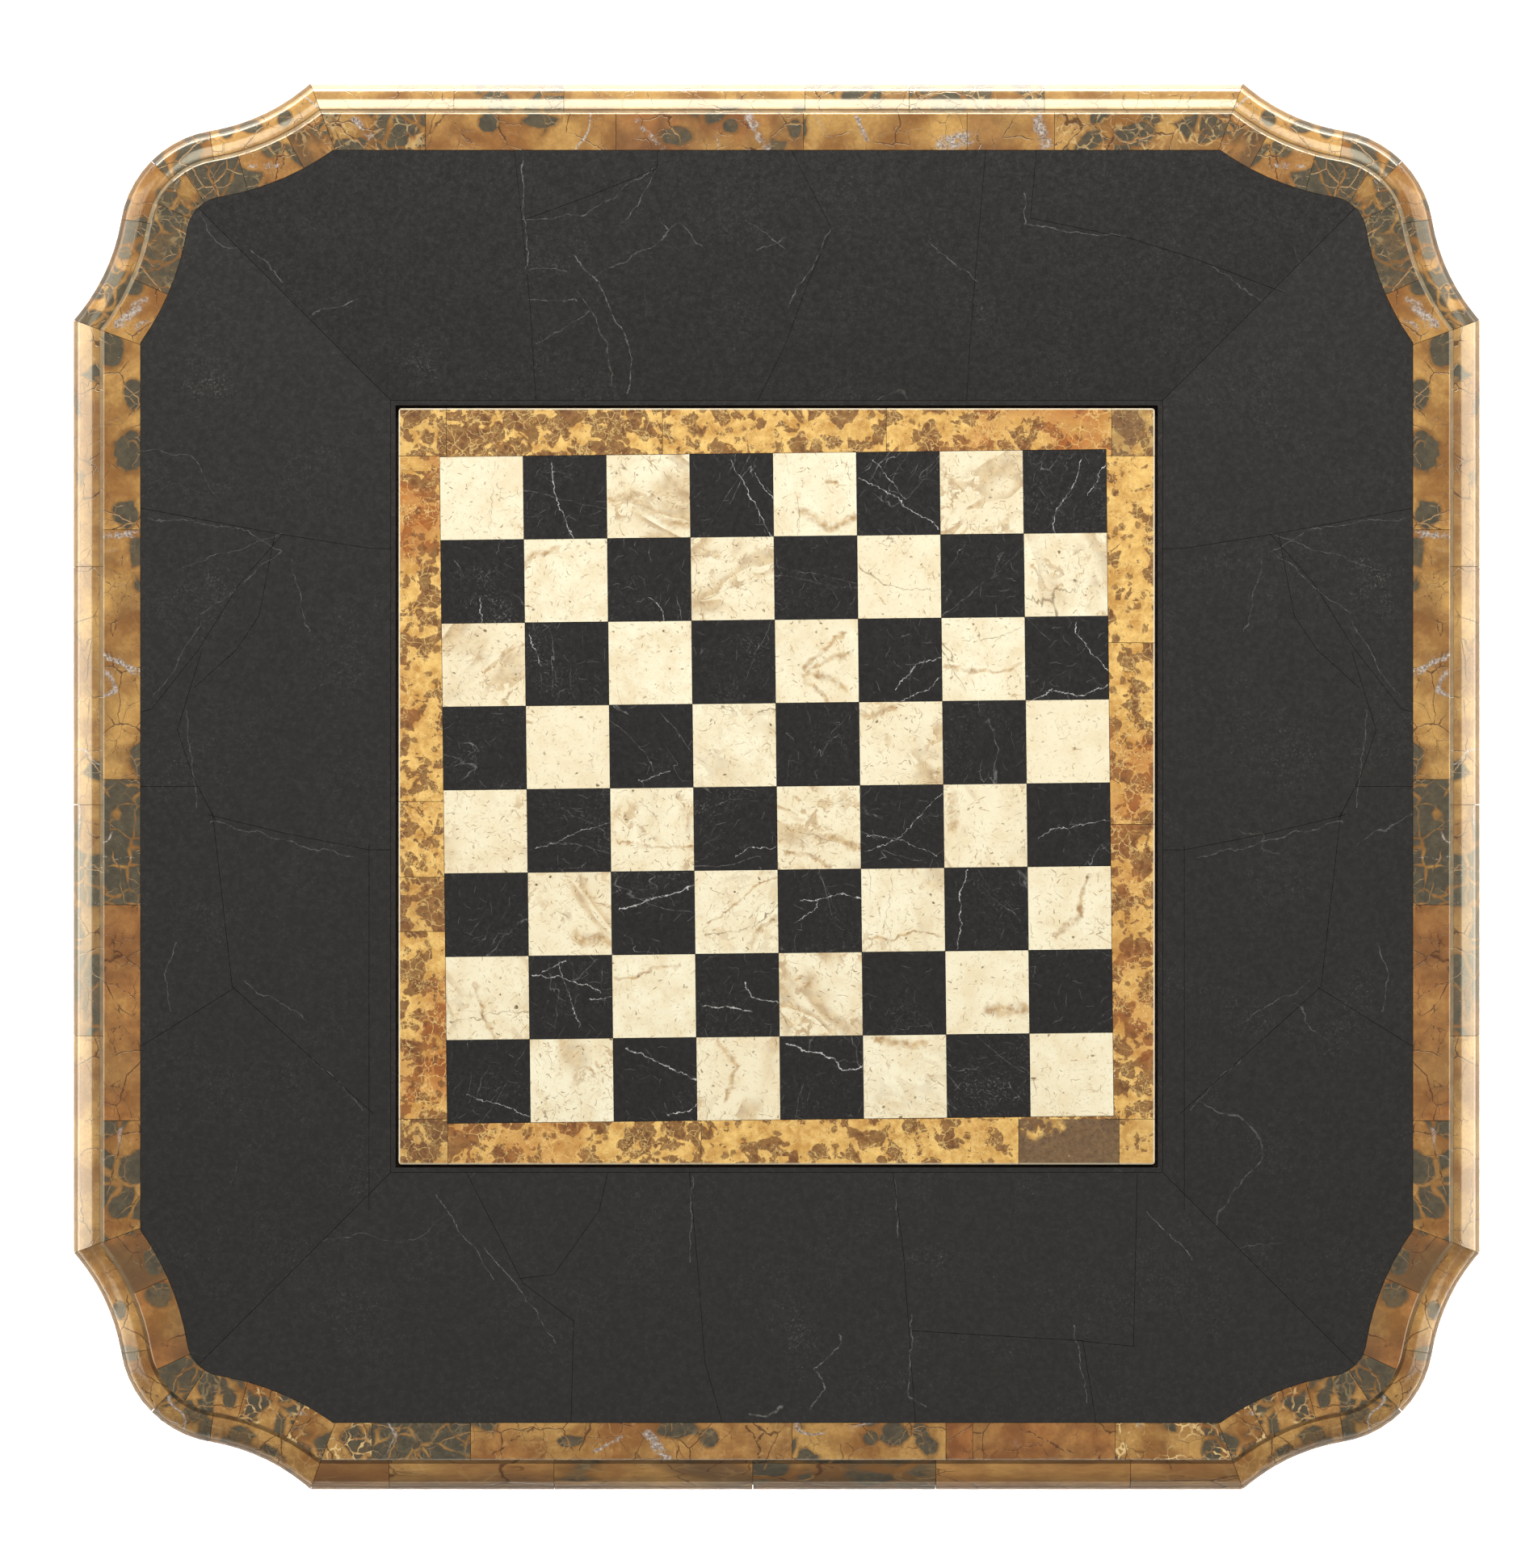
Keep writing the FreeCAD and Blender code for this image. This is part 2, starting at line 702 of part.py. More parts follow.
def make_border_stone():
    """The flat border, cut across at its joints, its outer arris eased."""
    level = value("stone_bed")
    height = value("stone_thickness")
    outer = Part.Face(outline("top", value("moulding_width"), level))
    inner = Part.Face(outline("top", value("moulding_width + border_width"), level))
    depth = value("moulding_width + border_width")
    paths = side_joints(BORDER_JOINT_SHARES, value("top_width"), depth)
    paths += corner_joints("top", depth)
    walls = joint_walls(paths, level - height, 3 * height)
    corner_reach = corner("top")["start"].y - value("border_width")
    border = eased(slab(outer, [inner], height), level + height, value("eased_edge"))
    tiles = by_side(border.cut(walls).Solids, corner_reach)
    for place_name, solids in tiles.items():
        custom("border_stone_" + place_name, solids)


def scaled(paths, width):
    """Paths of shares turned into points."""
    return [tuple(vector(x * width, y * width) for x, y in path) for path in paths]


def mitre_paths(inner, outer):
    """Diagonal joints from the corners of an inner square outward."""
    path = (vector(inner, inner), vector(outer, outer))
    return [tuple(turn_quarter(point, quarter) for point in path) for quarter in range(4)]


def make_field_stone():
    """The black field: large irregular tiles with mitred corners."""
    level = value("stone_bed")
    height = value("stone_thickness")
    gap = value("joint_gap")
    width = value("top_width")
    outer = Part.Face(outline("top", value("moulding_width + border_width + joint_gap"), level))
    hole = square_face(value("core_opening") + 2 * gap, level)
    paths = scaled(FIELD_JOINT_SHARES + SIDE_JOINT_SHARES, width)
    opposite = [[(-x, y) for x, y in path] for path in SIDE_JOINT_SHARES]
    paths += scaled(opposite, width)
    paths += mitre_paths(value("opening_width / 2 - overrun"), value("top_width / 2"))
    walls = joint_walls(paths, level - height, 3 * height)
    tiles = by_side(slab(outer, [hole], height).cut(walls).Solids, value("top_width"))
    for side in SIDES:
        custom("field_stone_" + side, tiles[side])


def frame_sides(outside, inside, level, height):
    """Four mitred strips round a square opening."""
    ring = slab(square_face(outside, level), [square_face(inside, level)], height)
    return [
        ring.common(wedge(quarter, level, height)).Solids[0]
        for quarter in range(4)
    ]


def make_opening():
    """The ledge that the panel rests on, its facing, and the lining of the opening."""
    bottom = value("edge_underside")
    top = value("ledge_top")
    inside = value("ledge_inside")
    strips = frame_sides(value("core_opening"), inside, bottom, top - bottom)
    for side, strip in zip(SIDES, strips):
        custom("ledge_" + side, [strip])
    custom("ledge_facing", frame_sides(inside, value("well_width"), bottom, top - bottom))
    custom("opening_lining", frame_sides(value("core_opening"), value("opening_width"), top,
                                         value("panel_thickness")))


def make_well():
    """Floor board with its finger hole, and the backgammon stones on it."""
    hole = ("push_hole_radius", "0", "-(well_width / 2 - push_hole_setback)")
    floor = sheet_piece("well_floor", rectangle("floor_width", "floor_width"),
                        "floor_thickness", [hole])
    keep("well_floor", place(floor, z="floor_underside"))
    bar = sheet_piece("backgammon_bar", rectangle("bar_width", "well_width"),
                      "stone_thickness", [hole])
    keep("backgammon_bar", place(bar, z="edge_underside"))
    level = value("edge_underside")
    height = value("stone_thickness")
    gap = value("joint_gap")
    width = value("well_width")
    half_bar = value("bar_width / 2") + gap
    pitch = (width / 2 - half_bar) / POINTS_IN_A_HALF
    base = pitch - value("point_gap")
    length = value("point_length")
    stones = {"light": [], "dark": []}
    cut_outs = []
    for end in (1, -1):
        for half in (1, -1):
            for number in range(POINTS_IN_A_HALF):
                middle = half * (half_bar + (number + 0.5) * pitch)
                tint = "light" if (number + (end * half > 0)) % 2 else "dark"
                stones[tint].append(point_stone(middle, end, base, length, level, height))
                cut_outs.append(point_stone(middle, end, base + 2 * gap, length + 2 * gap,
                                            level, height))
    ground = slab(square_face(width, level), [], height)
    middle_strip = Part.makeBox(2 * half_bar, width, height, vector(-half_bar, -width / 2, level))
    custom("backgammon_ground", ground.cut(cut_outs + [middle_strip]).Solids)
    custom("backgammon_points_light", stones["light"])
    custom("backgammon_points_dark", stones["dark"])


def point_stone(middle, end, base, length, level, height):
    """One long triangle, its base on the front or back edge of the well."""
    edge = end * value("well_width") / 2
    points = [
        vector(middle - base / 2, edge, level),
        vector(middle + base / 2, edge, level),
        vector(middle, edge - end * length, level),
    ]
    return Part.Face(Part.makePolygon(points + points[:1])).extrude(UP * height)


# Under the top

def make_underframe():
    """Rails round the well box, two bearers under it, and the plate that the column meets."""
    middle = "(frame_inside + rail_width) / 2"
    for side, sign in (("front", "-"), ("back", "")):
        rail = board("underframe_" + side, "frame_outside", "rail_width", "rail_height",
                     y=sign + middle, z="rail_underside")
        keep("underframe_" + side, rail)
    side_rails = [
        board("underframe_" + side, "rail_width", "frame_inside", "rail_height",
              x=sign + middle, z="rail_underside")
        for side, sign in (("left", "-"), ("right", ""))
    ]
    group("underframe_sides", side_rails)
    bearers = [
        board("bearer_" + side, "bearer_width", "frame_inside", "bearer_height",
              x=sign + "bearer_reach", z="rail_underside")
        for side, sign in (("left", "-"), ("right", ""))
    ]
    group("bearers", bearers)


def plate_screw_places():
    """Where the plate's screws stand, as formulas."""
    return [
        (x_sign + "plate_screw_spacing", y)
        for x_sign in ("-", "")
        for y in ("-plate_screw_reach", "0", "plate_screw_reach")
    ]


def make_plate():
    """The steel mounting plate and its screws, which enter the bearers from below."""
    holes = [("rod_hole_radius", "0", "0")]
    holes += [("plate_screw_radius + joint_gap", x, y) for x, y in plate_screw_places()]
    plate = sheet_piece("mounting_plate", rectangle("plate_width", "plate_width"),
                        "plate_thickness", holes)
    keep("mounting_plate", place(plate, z="plate_underside"))
    shank = (
        ("0", "-plate_screw_head_height"),
        ("plate_screw_head_radius", "-plate_screw_head_height"),
        ("plate_screw_head_radius", "0"),
        ("plate_screw_radius", "0"),
        ("plate_screw_radius", "plate_screw_length"),
        ("0", "plate_screw_length"),
    )
    screws = [
        place(turned(f"plate_screw_{number}", shank), x, y, "plate_underside")
        for number, (x, y) in enumerate(plate_screw_places(), 1)
    ]
    group("plate_screws", screws)


# The column

def make_column_boards():
    """Four boards glued up as a square tube, with a block in each end."""
    for side, sign in (("front", "-"), ("back", "")):
        piece = board("column_board_" + side, "column_box", "column_board_thickness",
                      "column_length", z="plinth_bed",
                      y=sign + "(column_box - column_board_thickness) / 2")
        keep("column_board_" + side, piece)
    inside = "(column_box - 2 * column_board_thickness)"
    for side, sign in (("left", "-"), ("right", "")):
        piece = board("column_board_" + side, "column_board_thickness", inside,
                      "column_length", z="plinth_bed",
                      x=sign + "(column_box - column_board_thickness) / 2")
        keep("column_board_" + side, piece)
    hole = ("rod_hole_radius", "0", "0")
    for end, level in (("bottom", "plinth_bed"), ("top", "plate_underside - column_block_height")):
        block = sheet_piece("column_block_" + end, rectangle(inside, inside),
                            "column_block_height", [hole])
        keep("column_block_" + end, place(block, z=level))


def make_column_stone():
    """Black faces and ochre corners of the column, laid in courses."""
    bottom = value("plinth_top + capital_height")
    top = value("plate_underside - capital_height")
    gap = value("joint_gap")
    outside = value("column_width")
    inside = value("column_box")
    leg = value("column_corner_width")
    skin = slab(square_face(outside, bottom), [square_face(inside, bottom)], top - bottom)
    face_width = outside - 2 * leg
    faces = []
    corners = []
    for low, high in courses(FACE_COURSE_SHARES, bottom, top, gap):
        bands = [
            Part.makeBox(face_width - gap, outside, high - low,
                         vector(-(face_width - gap) / 2, -outside / 2, low)),
            Part.makeBox(outside, face_width - gap, high - low,
                         vector(-outside / 2, -(face_width - gap) / 2, low)),
        ]
        for band in bands:
            faces += skin.common(band).Solids
    for low, high in courses(CORNER_COURSE_SHARES, bottom, top, gap):
        reach = outside / 2 - leg + gap / 2
        block = Part.makeBox(leg, leg, high - low, vector(reach, reach, low))
        for quarter in range(4):
            corners += skin.common(turned_copies(block, quarter)).Solids
    custom("column_face_stone", faces)
    custom("column_corner_stone", corners)


def courses(shares, bottom, top, gap):
    """Lower and upper level of each course of stone."""
    levels = [bottom] + [bottom + share * (top - bottom) for share in shares] + [top]
    return [
        (low + gap / 2 if low > bottom else low, high - gap / 2 if high < top else high)
        for low, high in zip(levels, levels[1:])
    ]


def cove_profile(projection, fillet, height):
    """Section of the capital: (outward, below the plate), with a cove between two fillets."""
    run = projection - 2 * fillet
    drop = height - 2 * fillet
    middle = 1 - math.sqrt(0.5)
    return (
        ("line", (0, 0), (projection, 0)),
        ("line", (projection, 0), (projection, fillet)),
        ("line", (projection, fillet), (projection - fillet, fillet)),
        ("arc", (projection - fillet, fillet),
         (fillet + run * middle, fillet + drop * middle),
         (fillet, height - fillet)),
        ("line", (fillet, height - fillet), (fillet, height)),
        ("line", (fillet, height), (0, height)),
        ("line", (0, height), (0, 0)),
    )


def make_capital_and_base():
    """Mitred cove mouldings round both ends of the column."""
    half = value("column_box / 2")
    reach = half + value("capital_projection + overrun")
    profile = cove_profile(value("capital_projection"), value("capital_fillet"),
                           value("capital_height"))
    face = section(profile, vector(half, -reach, 0), vector(1, 0))
    length = face.extrude(vector(0, 2 * reach))
    wedge_height = value("capital_height")
    side = length.common(wedge(0, -wedge_height, wedge_height)).Solids[0]
    capital = []
    base = []
    for quarter in range(4):
        strip = turned_copies(side, quarter)
        upper = strip.copy()
        upper.translate(UP * value("plate_underside"))
        capital.append(upper)
        lower = strip.mirror(vector(0, 0), UP)
        lower.translate(UP * value("plinth_top"))
        base.append(lower)
    custom("capital_moulding", capital)
    custom("base_moulding", base)


def make_tie_rod():
    """The threaded rod that clamps plate, column and plinth together, washers and nuts."""
    length = ("(rail_underside + washer_thickness + nut_height + rod_end)"
              " - (rod_seat - washer_thickness - nut_height - rod_end)")
    rod = turned("tie_rod", (
        ("0", "0"), ("rod_radius", "0"), ("rod_radius", length), ("0", length)))
    keep("tie_rod", place(rod, z="rod_seat - washer_thickness - nut_height - rod_end"))
    hole = ("rod_hole_radius", "0", "0")
    washers = []
    nuts = []
    for end, washer_level, nut_level in (
            ("top", "rail_underside", "rail_underside + washer_thickness"),
            ("bottom", "rod_seat - washer_thickness",
             "rod_seat - washer_thickness - nut_height")):
        washer = turned("rod_washer_" + end, (
            ("rod_hole_radius", "0"), ("washer_radius", "0"),
            ("washer_radius", "washer_thickness"), ("rod_hole_radius", "washer_thickness")))
        washers.append(place(washer, z=washer_level))
        nut = sheet_piece("rod_nut_" + end, hexagon("nut_width"), "nut_height", [hole])
        nuts.append(place(nut, z=nut_level))
    group("rod_washers", washers)
    group("rod_nuts", nuts)


def hexagon(width):
    """Corner points of a hexagon by its width across the flats, as formulas."""
    flat = f"{width} / 2"
    point = f"{width} / sqrt(3)"
    half = f"{width} / sqrt(12)"
    return ((point, "0"), (half, flat), (f"-{half}", flat), (f"-{point}", "0"),
            (f"-{half}", f"-{flat}"), (half, f"-{flat}"))


# The plinth

def make_plinth():
    """Core with its rounded stone edge, and the black top cut round the column."""
    bottom = value("glide_height")
    top = value("plinth_top")
    bed = value("plinth_bed")
    gap = value("joint_gap")
    skin = value("stone_thickness")
    height = value("plinth_height")
    drop = value("edge_drop")
    nose_radius = height / 2 - drop
    flange = nose_radius + value("quirk_depth")
    core = slab(Part.Face(outline("plinth", flange, bottom)), [], bed - bottom)
    rod_hole = Part.makeCylinder(value("rod_hole_radius"), bed - bottom, vector(0, 0, bottom))
    counterbore = Part.makeCylinder(value("counterbore_radius"), value("counterbore_depth"),
                                    vector(0, 0, bottom))
    custom("plinth_core", core.cut([rod_hole, counterbore]).Solids)
    wood = nosing_profile(nose_radius, drop, flange, skin, height)
    nosing = corner_moulding("plinth", wood, 0, top)
    stone = nose_profile(nose_radius, drop, value("quirk_depth"), flange, skin, height)
    edge = corner_moulding("plinth", stone, gap, top)
    for side in SIDES:
        nosing += side_moulding("plinth", wood, 0, top, side, ())
        edge += side_moulding("plinth", stone, gap, top, side, (0.5,))
    custom("plinth_nosing", nosing)
    custom("plinth_edge_stone", edge)
    slab_top = slab(Part.Face(outline("plinth", flange, bed)),
                    [square_face(value("column_box") + 2 * gap, bed)], skin)
    width = value("plinth_width")
    paths = scaled(PLINTH_JOINT_SHARES, width)
    paths += mitre_paths(value("column_box / 2 - overrun"), width / 2)
    walls = joint_walls(paths, bed - skin, 3 * skin)
    custom("plinth_top_stone", slab_top.cut(walls).Solids)


def make_glides():
    """Four fixed glides that the table stands on."""
    profile = (
        ("0", "0"),
        ("glide_radius - glide_height / 4", "0"),
        ("glide_radius", "glide_height / 4"),
        ("glide_radius", "glide_height"),
        ("0", "glide_height"),
    )
    reach = "(plinth_width / 2 - glide_inset)"
    glides = [
        place(turned(f"glide_{number}", profile), x_sign + reach, y_sign + reach)
        for number, (x_sign, y_sign) in enumerate((("-", "-"), ("", "-"), ("", ""), ("-", "")), 1)
    ]
    group("glides", glides)


# The lift-out panel

def panel_blank(width, corner_radius, level, height):
    """A square slab with rounded upright corners."""
    blank = slab(square_face(width, level), [], height)
    upright = [edge for edge in blank.Edges if abs(edge.tangentAt(edge.FirstParameter).z) > 0.5]
    return blank.makeFillet(corner_radius, upright)


def make_panel():
    """Core board, stone edging, felt, and the frame round the turned chessboard."""
    skin = value("stone_thickness")
    gap = value("joint_gap")
    width = value("panel_width")
    turn = value("pattern_turn")
    bottom = value("ledge_top + felt_thickness")
    bed = value("stone_bed")
    core = sheet_piece("panel_board", rectangle("panel_width - 2 * stone_thickness",
                                                "panel_width - 2 * stone_thickness"),
                       "panel_thickness - stone_thickness - felt_thickness")
    keep("panel_board", place(core, z="ledge_top + felt_thickness"))
    felt = sheet_piece("panel_felt", rectangle("panel_width - 2 * felt_inset",
                                               "panel_width - 2 * felt_inset"),
                       "felt_thickness")
    keep("panel_felt", place(felt, z="ledge_top"))
    blank = panel_blank(width, value("panel_corner_radius"), bottom, bed - bottom)
    sides = blank.cut(slab(square_face(width - 2 * skin, bottom), [], bed - bottom))
    custom("panel_edging", [
        sides.common(wedge(quarter, bottom, bed - bottom)).Solids[0]
        for quarter in range(4)
    ])
    frame = panel_blank(width, value("panel_corner_radius"), bed, skin)
    frame = eased(frame, bed + skin, value("eased_edge"))
    frame = frame.cut(slab(square_face(value("board_field") + gap, bed, turn), [], skin))
    paths = side_joints(PANEL_JOINT_SHARES, width, (width - value("board_field")) / 2 + skin)
    custom("panel_frame_stone", frame.cut(joint_walls(paths, bed - skin, 3 * skin)).Solids)
    make_squares(bed, skin, gap, turn)


def make_squares(level, height, gap, turn):
    """The sixty-four squares; the far left one is light."""
    pitch = value("board_field") / COUNT_OF_SQUARES
    squares = {"light_squares": [], "dark_squares": []}
    first = -value("board_field") / 2
    for column in range(COUNT_OF_SQUARES):
        for rank in range(COUNT_OF_SQUARES):
            low = vector(first + column * pitch + gap / 2, first + rank * pitch + gap / 2, level)
            square = Part.makeBox(pitch - gap, pitch - gap, height, low)
            square.rotate(vector(0, 0), UP, turn)
            tint = "light_squares" if (column + rank) % 2 else "dark_squares"
            squares[tint].append(square)
    for name, solids in squares.items():
        custom(name, solids)


make_top_cores()
make_edge_moulding()
make_border_stone()
make_field_stone()
make_opening()
make_well()
make_underframe()
make_plate()
make_column_boards()
make_column_stone()
make_capital_and_base()
make_tie_rod()
make_plinth()
make_glides()
make_panel()
document.recompute()

for item in document.Objects:
    if "Invalid" in item.State or "Error" in item.State:
        raise RuntimeError(f"{item.Label} failed: {item.State}")
for name, piece in nodes.items():
    if piece.Shape.isNull() or not piece.Shape.isValid() or not piece.Shape.Solids:
        raise RuntimeError(f"{name} has no valid solid")

os.makedirs("parts", exist_ok=True)
for name, piece in nodes.items():
    piece.Shape.exportStep(os.path.join("parts", name + ".step"))
    print(f"{name}: {len(piece.Shape.Solids)} solids, {piece.Shape.Volume:.0f} cubic mm")
print(f"{len(nodes)} nodes")
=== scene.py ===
"""Looks of the pedestal game table: stone veneers, studio light and the plan camera."""
import bpy
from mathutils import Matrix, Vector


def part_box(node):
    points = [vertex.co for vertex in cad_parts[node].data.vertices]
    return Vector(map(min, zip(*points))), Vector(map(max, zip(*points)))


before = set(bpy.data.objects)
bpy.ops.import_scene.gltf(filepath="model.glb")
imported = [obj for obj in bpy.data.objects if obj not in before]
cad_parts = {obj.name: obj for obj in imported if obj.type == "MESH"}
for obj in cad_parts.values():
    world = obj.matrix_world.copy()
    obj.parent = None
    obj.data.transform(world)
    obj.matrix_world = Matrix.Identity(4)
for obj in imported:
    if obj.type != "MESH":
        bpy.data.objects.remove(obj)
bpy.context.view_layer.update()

# The photograph: its size, its scale and the middle of the table top in it
IMAGE_WIDTH_PX = 1904
IMAGE_HEIGHT_PX = 1941
MIDDLE_X_PX = 961.5
MIDDLE_Y_PX = 973.5
METRES_PER_PX = 0.0005235

TOP_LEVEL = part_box("field_stone_back")[1].z
TOP_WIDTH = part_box("moulding_stone_right")[1].x * 2
PANEL_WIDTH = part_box("panel_frame_stone")[1].x * 2
SQUARE_WIDTH = 0.054
PATTERN_TURN = 0.66 / 57.2958  # 0.66 degrees
BAR_HALF_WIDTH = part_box("backgammon_bar")[1].x + 0.0003
POINT_PITCH = (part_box("backgammon_ground")[1].x - BAR_HALF_WIDTH) / 6
LENS_MM = 250
SENSOR_MM = 36
FLOOR_HALF_WIDTH = 6
FLOOR_GLOW = 0.4
WORLD_LIGHT = 0.25
WORLD_SEEN = 0.7

# Joints between the tiles, as shares of the top's width from the left or from the back
BORDER_JOINTS = {
    "back": (0.251, 0.386, 0.519, 0.635, 0.697),
    "front": (0.213, 0.283, 0.511, 0.62, 0.639, 0.74),
    "side": (0.318, 0.495, 0.584, 0.737),
}
MOULDING_JOINTS = {
    "back": (0.271, 0.349, 0.52, 0.594, 0.69),
    "front": (0.225, 0.342, 0.483, 0.613, 0.751),
    "side": (0.344, 0.513, 0.677),
}
PANEL_JOINTS = {
    "back": (0.063, 0.349, 0.645, 0.943),
    "front": (0.065, 0.4, 0.82, 0.953),
    "left": (0.063, 0.52, 0.62, 0.692, 0.94),
    "right": (0.063, 0.31, 0.55, 0.94),
}
FACE_COURSES = (0.36, 0.71)
CORNER_COURSES = (0.24, 0.52, 0.8)
# Joints round a corner: the direction across each joint and how far along it the joint lies,
# in metres, for the corner at +x +y, from the side's kink to the back's kink
BORDER_CORNER_JOINTS = (
    ((-0.4026, 0.9154, 0), 0.13297),
    ((-0.4226, 0.9063, 0), 0.17268),
    ((-0.8387, 0.5446, 0), -0.10497),
    ((-0.9643, 0.2649, 0), -0.22836),
    ((-0.8809, 0.4734, 0), -0.0803),
)
MOULDING_CORNER_JOINTS = (
    ((-0.1604, 0.9871, 0), 0.2951),
    ((-0.7071, 0.7071, 0), 0),
    ((-0.9871, 0.1604, 0), -0.2951),
)

# Character of each tile from left to right or from back to front: how much of it is dark
# patches, how rusty it is, how much fine gold net it has and how smoky brown it is
BORDER_TILES = {
    "back": (
        (0.75, 0.1, 0.5, 0.3), (0.1, 0.25, 0, 0.2), (0.2, 0.7, 0, 0.5), (0.05, 0.1, 0.1, 0.1),
        (0.12, 0.4, 0, 0.3), (0.5, 0.2, 0.5, 0.3),
    ),
    "front": (
        (0.6, 0.1, 1, 0.3), (1, 0, 0.1, 0), (0.15, 0.3, 0.2, 0.2), (0.3, 0.1, 0.1, 0.1),
        (0.05, 0.8, 0, 0.3), (0.08, 0.5, 0, 0.2), (0.6, 0.1, 1, 0.2),
    ),
    "side": (
        (0.05, 0.1, 0, 0.1), (0.15, 0.1, 0.1, 0.4), (1, 0, 0, 0.1), (0.08, 0.5, 0, 0.3),
        (0.75, 0.6, 0, 0.2),
    ),
}
BORDER_CORNER_TILES = {
    "back": (
        (0.2, 0.2, 0, 0.1), (0.97, 0.1, 0.2, 0.5), (0.8, 0.7, 0.2, 0.3), (1, 0.3, 0, 0.2),
        (0.35, 0.3, 0.2, 0.4), (0.3, 0.5, 0.35, 1),
    ),
    "front": (
        (0.3, 0.7, 0, 0.9), (0.15, 0.6, 0, 0.6), (1, 0.1, 0, 0.2), (0.85, 0.2, 0.2, 0.1),
        (0.7, 0.1, 0.9, 0.1), (0.45, 0.2, 1, 0.3),
    ),
}
MOULDING_TILES = {
    "back": (
        (0.1, 0.1, 0, 0.1), (0.4, 0.1, 0.1, 0.2), (0.15, 0.1, 0, 0.2), (0.3, 0, 0, 0.2),
        (0.6, 0.1, 0.5, 0.3), (0.06, 0, 0, 0.1),
    ),
    "front": (
        (0.05, 0.3, 0.1, 0.3), (0.15, 0.4, 0.1, 0.7), (0.45, 0.2, 0.1, 1), (0.7, 0.1, 0.1, 1),
        (0.15, 0.5, 0, 0.3), (0.1, 0.4, 0.1, 0.4),
    ),
    "side": ((0.15, 0.1, 0, 0.1), (0.06, 0, 0, 0.1), (0.65, 0, 0, 0.5), (0.05, 0.1, 0, 0.2)),
}
MOULDING_CORNER_TILES = {
    "back": ((0.7, 0.1, 0, 0.3), (0.2, 0.1, 0, 0.3), (0.45, 0.1, 0, 0.1), (0.1, 0.1, 0, 0.1)),
    "front": (
        (0.25, 0.2, 0.1, 0.6), (0.2, 0.3, 0.1, 0.5), (0.55, 0.2, 0.1, 0.9), (0.4, 0.3, 0.2, 0.8),
    ),
}

# Tiles of the panel's frame: how brown, how red and how plain dull brown each is
PANEL_TILES = (
    (0.7, 0.4, 0.1), (0.75, 0, 0), (0.5, 0, 0), (0.45, 0.8, 0), (0.6, 0, 0.5), (0.8, 0.1, 0.2),
    (0.7, 0.4, 0), (0.45, 0.1, 0), (0.3, 0, 1), (0.5, 0.2, 0.1), (0.7, 0.4, 0.1), (0.45, 0.7, 0),
    (0.45, 0.2, 0), (0.8, 0.1, 0.1), (0.55, 0.7, 0), (0.1, 0, 0), (0.6, 0, 0.5), (0.25, 0, 0),
    (0.5, 0.6, 0), (0.65, 0.4, 0), (0.5, 0.2, 0.1),
)

# Marks that the photograph shows in single tiles, placed by its pixels. A streak has two
# ends and half its breadth, a spot its middle and its two half breadths.
BORDER_MARKS = {
    "back": {
        "quartz": (
            (785, 150, 822, 184, 2.5), (926, 142, 948, 182, 4.5), (1060, 146, 1074, 172, 3),
            (1168, 178, 1200, 170, 8), (1282, 142, 1297, 186, 6), (440, 148, 456, 170, 4),
            (886, 150, 890, 184, 0.8),
        ),
        "dark": (
            (605, 152, 12, 12), (838, 168, 20, 11), (905, 156, 10, 9), (984, 160, 8, 12),
            (1405, 166, 25, 14), (670, 150, 22, 9),
        ),
        "crack": (
            (1306, 180, 1345, 150, 1), (1345, 150, 1378, 176, 1), (560, 150, 592, 182, 0.8),
        ),
    },
    "front": {
        "quartz": ((801, 1774, 826, 1806, 5), (736, 1796, 768, 1780, 2)),
        "dark": (
            (840, 1768, 25, 12), (878, 1780, 12, 12), (1106, 1776, 17, 13), (1078, 1780, 9, 9),
            (1137, 1772, 9, 10), (706, 1784, 16, 7),
        ),
        "crack": (
            (610, 1800, 660, 1768, 1.2), (925, 1766, 938, 1786, 1.5), (938, 1786, 950, 1768, 1.5),
            (938, 1786, 940, 1804, 1.5), (1265, 1768, 1330, 1800, 1),
        ),
    },
    "side": {
        "quartz": (
            (130, 664, 168, 660, 3.5), (128, 810, 170, 832, 2.5), (126, 1061, 168, 1064, 0.8),
        ),
        "dark": (
            (138, 432, 15, 26), (166, 490, 13, 19), (161, 560, 19, 25), (156, 636, 16, 17),
        ),
        "crack": (
            (124, 1210, 168, 1236, 0.8), (140, 1150, 150, 1290, 0.7), (128, 720, 168, 742, 0.7),
            (150, 690, 142, 790, 0.7),
        ),
    },
    "corner": {
        "quartz": ((146, 402, 178, 372, 6), (312, 207, 344, 206, 2.2), (232, 196, 216, 236, 1)),
        "dark": (
            (336, 183, 13, 11), (166, 356, 12, 10), (192, 1560, 14, 19), (197, 1603, 18, 14),
            (258, 1714, 14, 16), (284, 1732, 8, 12), (312, 1744, 8, 12),
        ),
        "crack": ((352, 180, 348, 210, 1), (300, 196, 322, 176, 1)),
    },
}
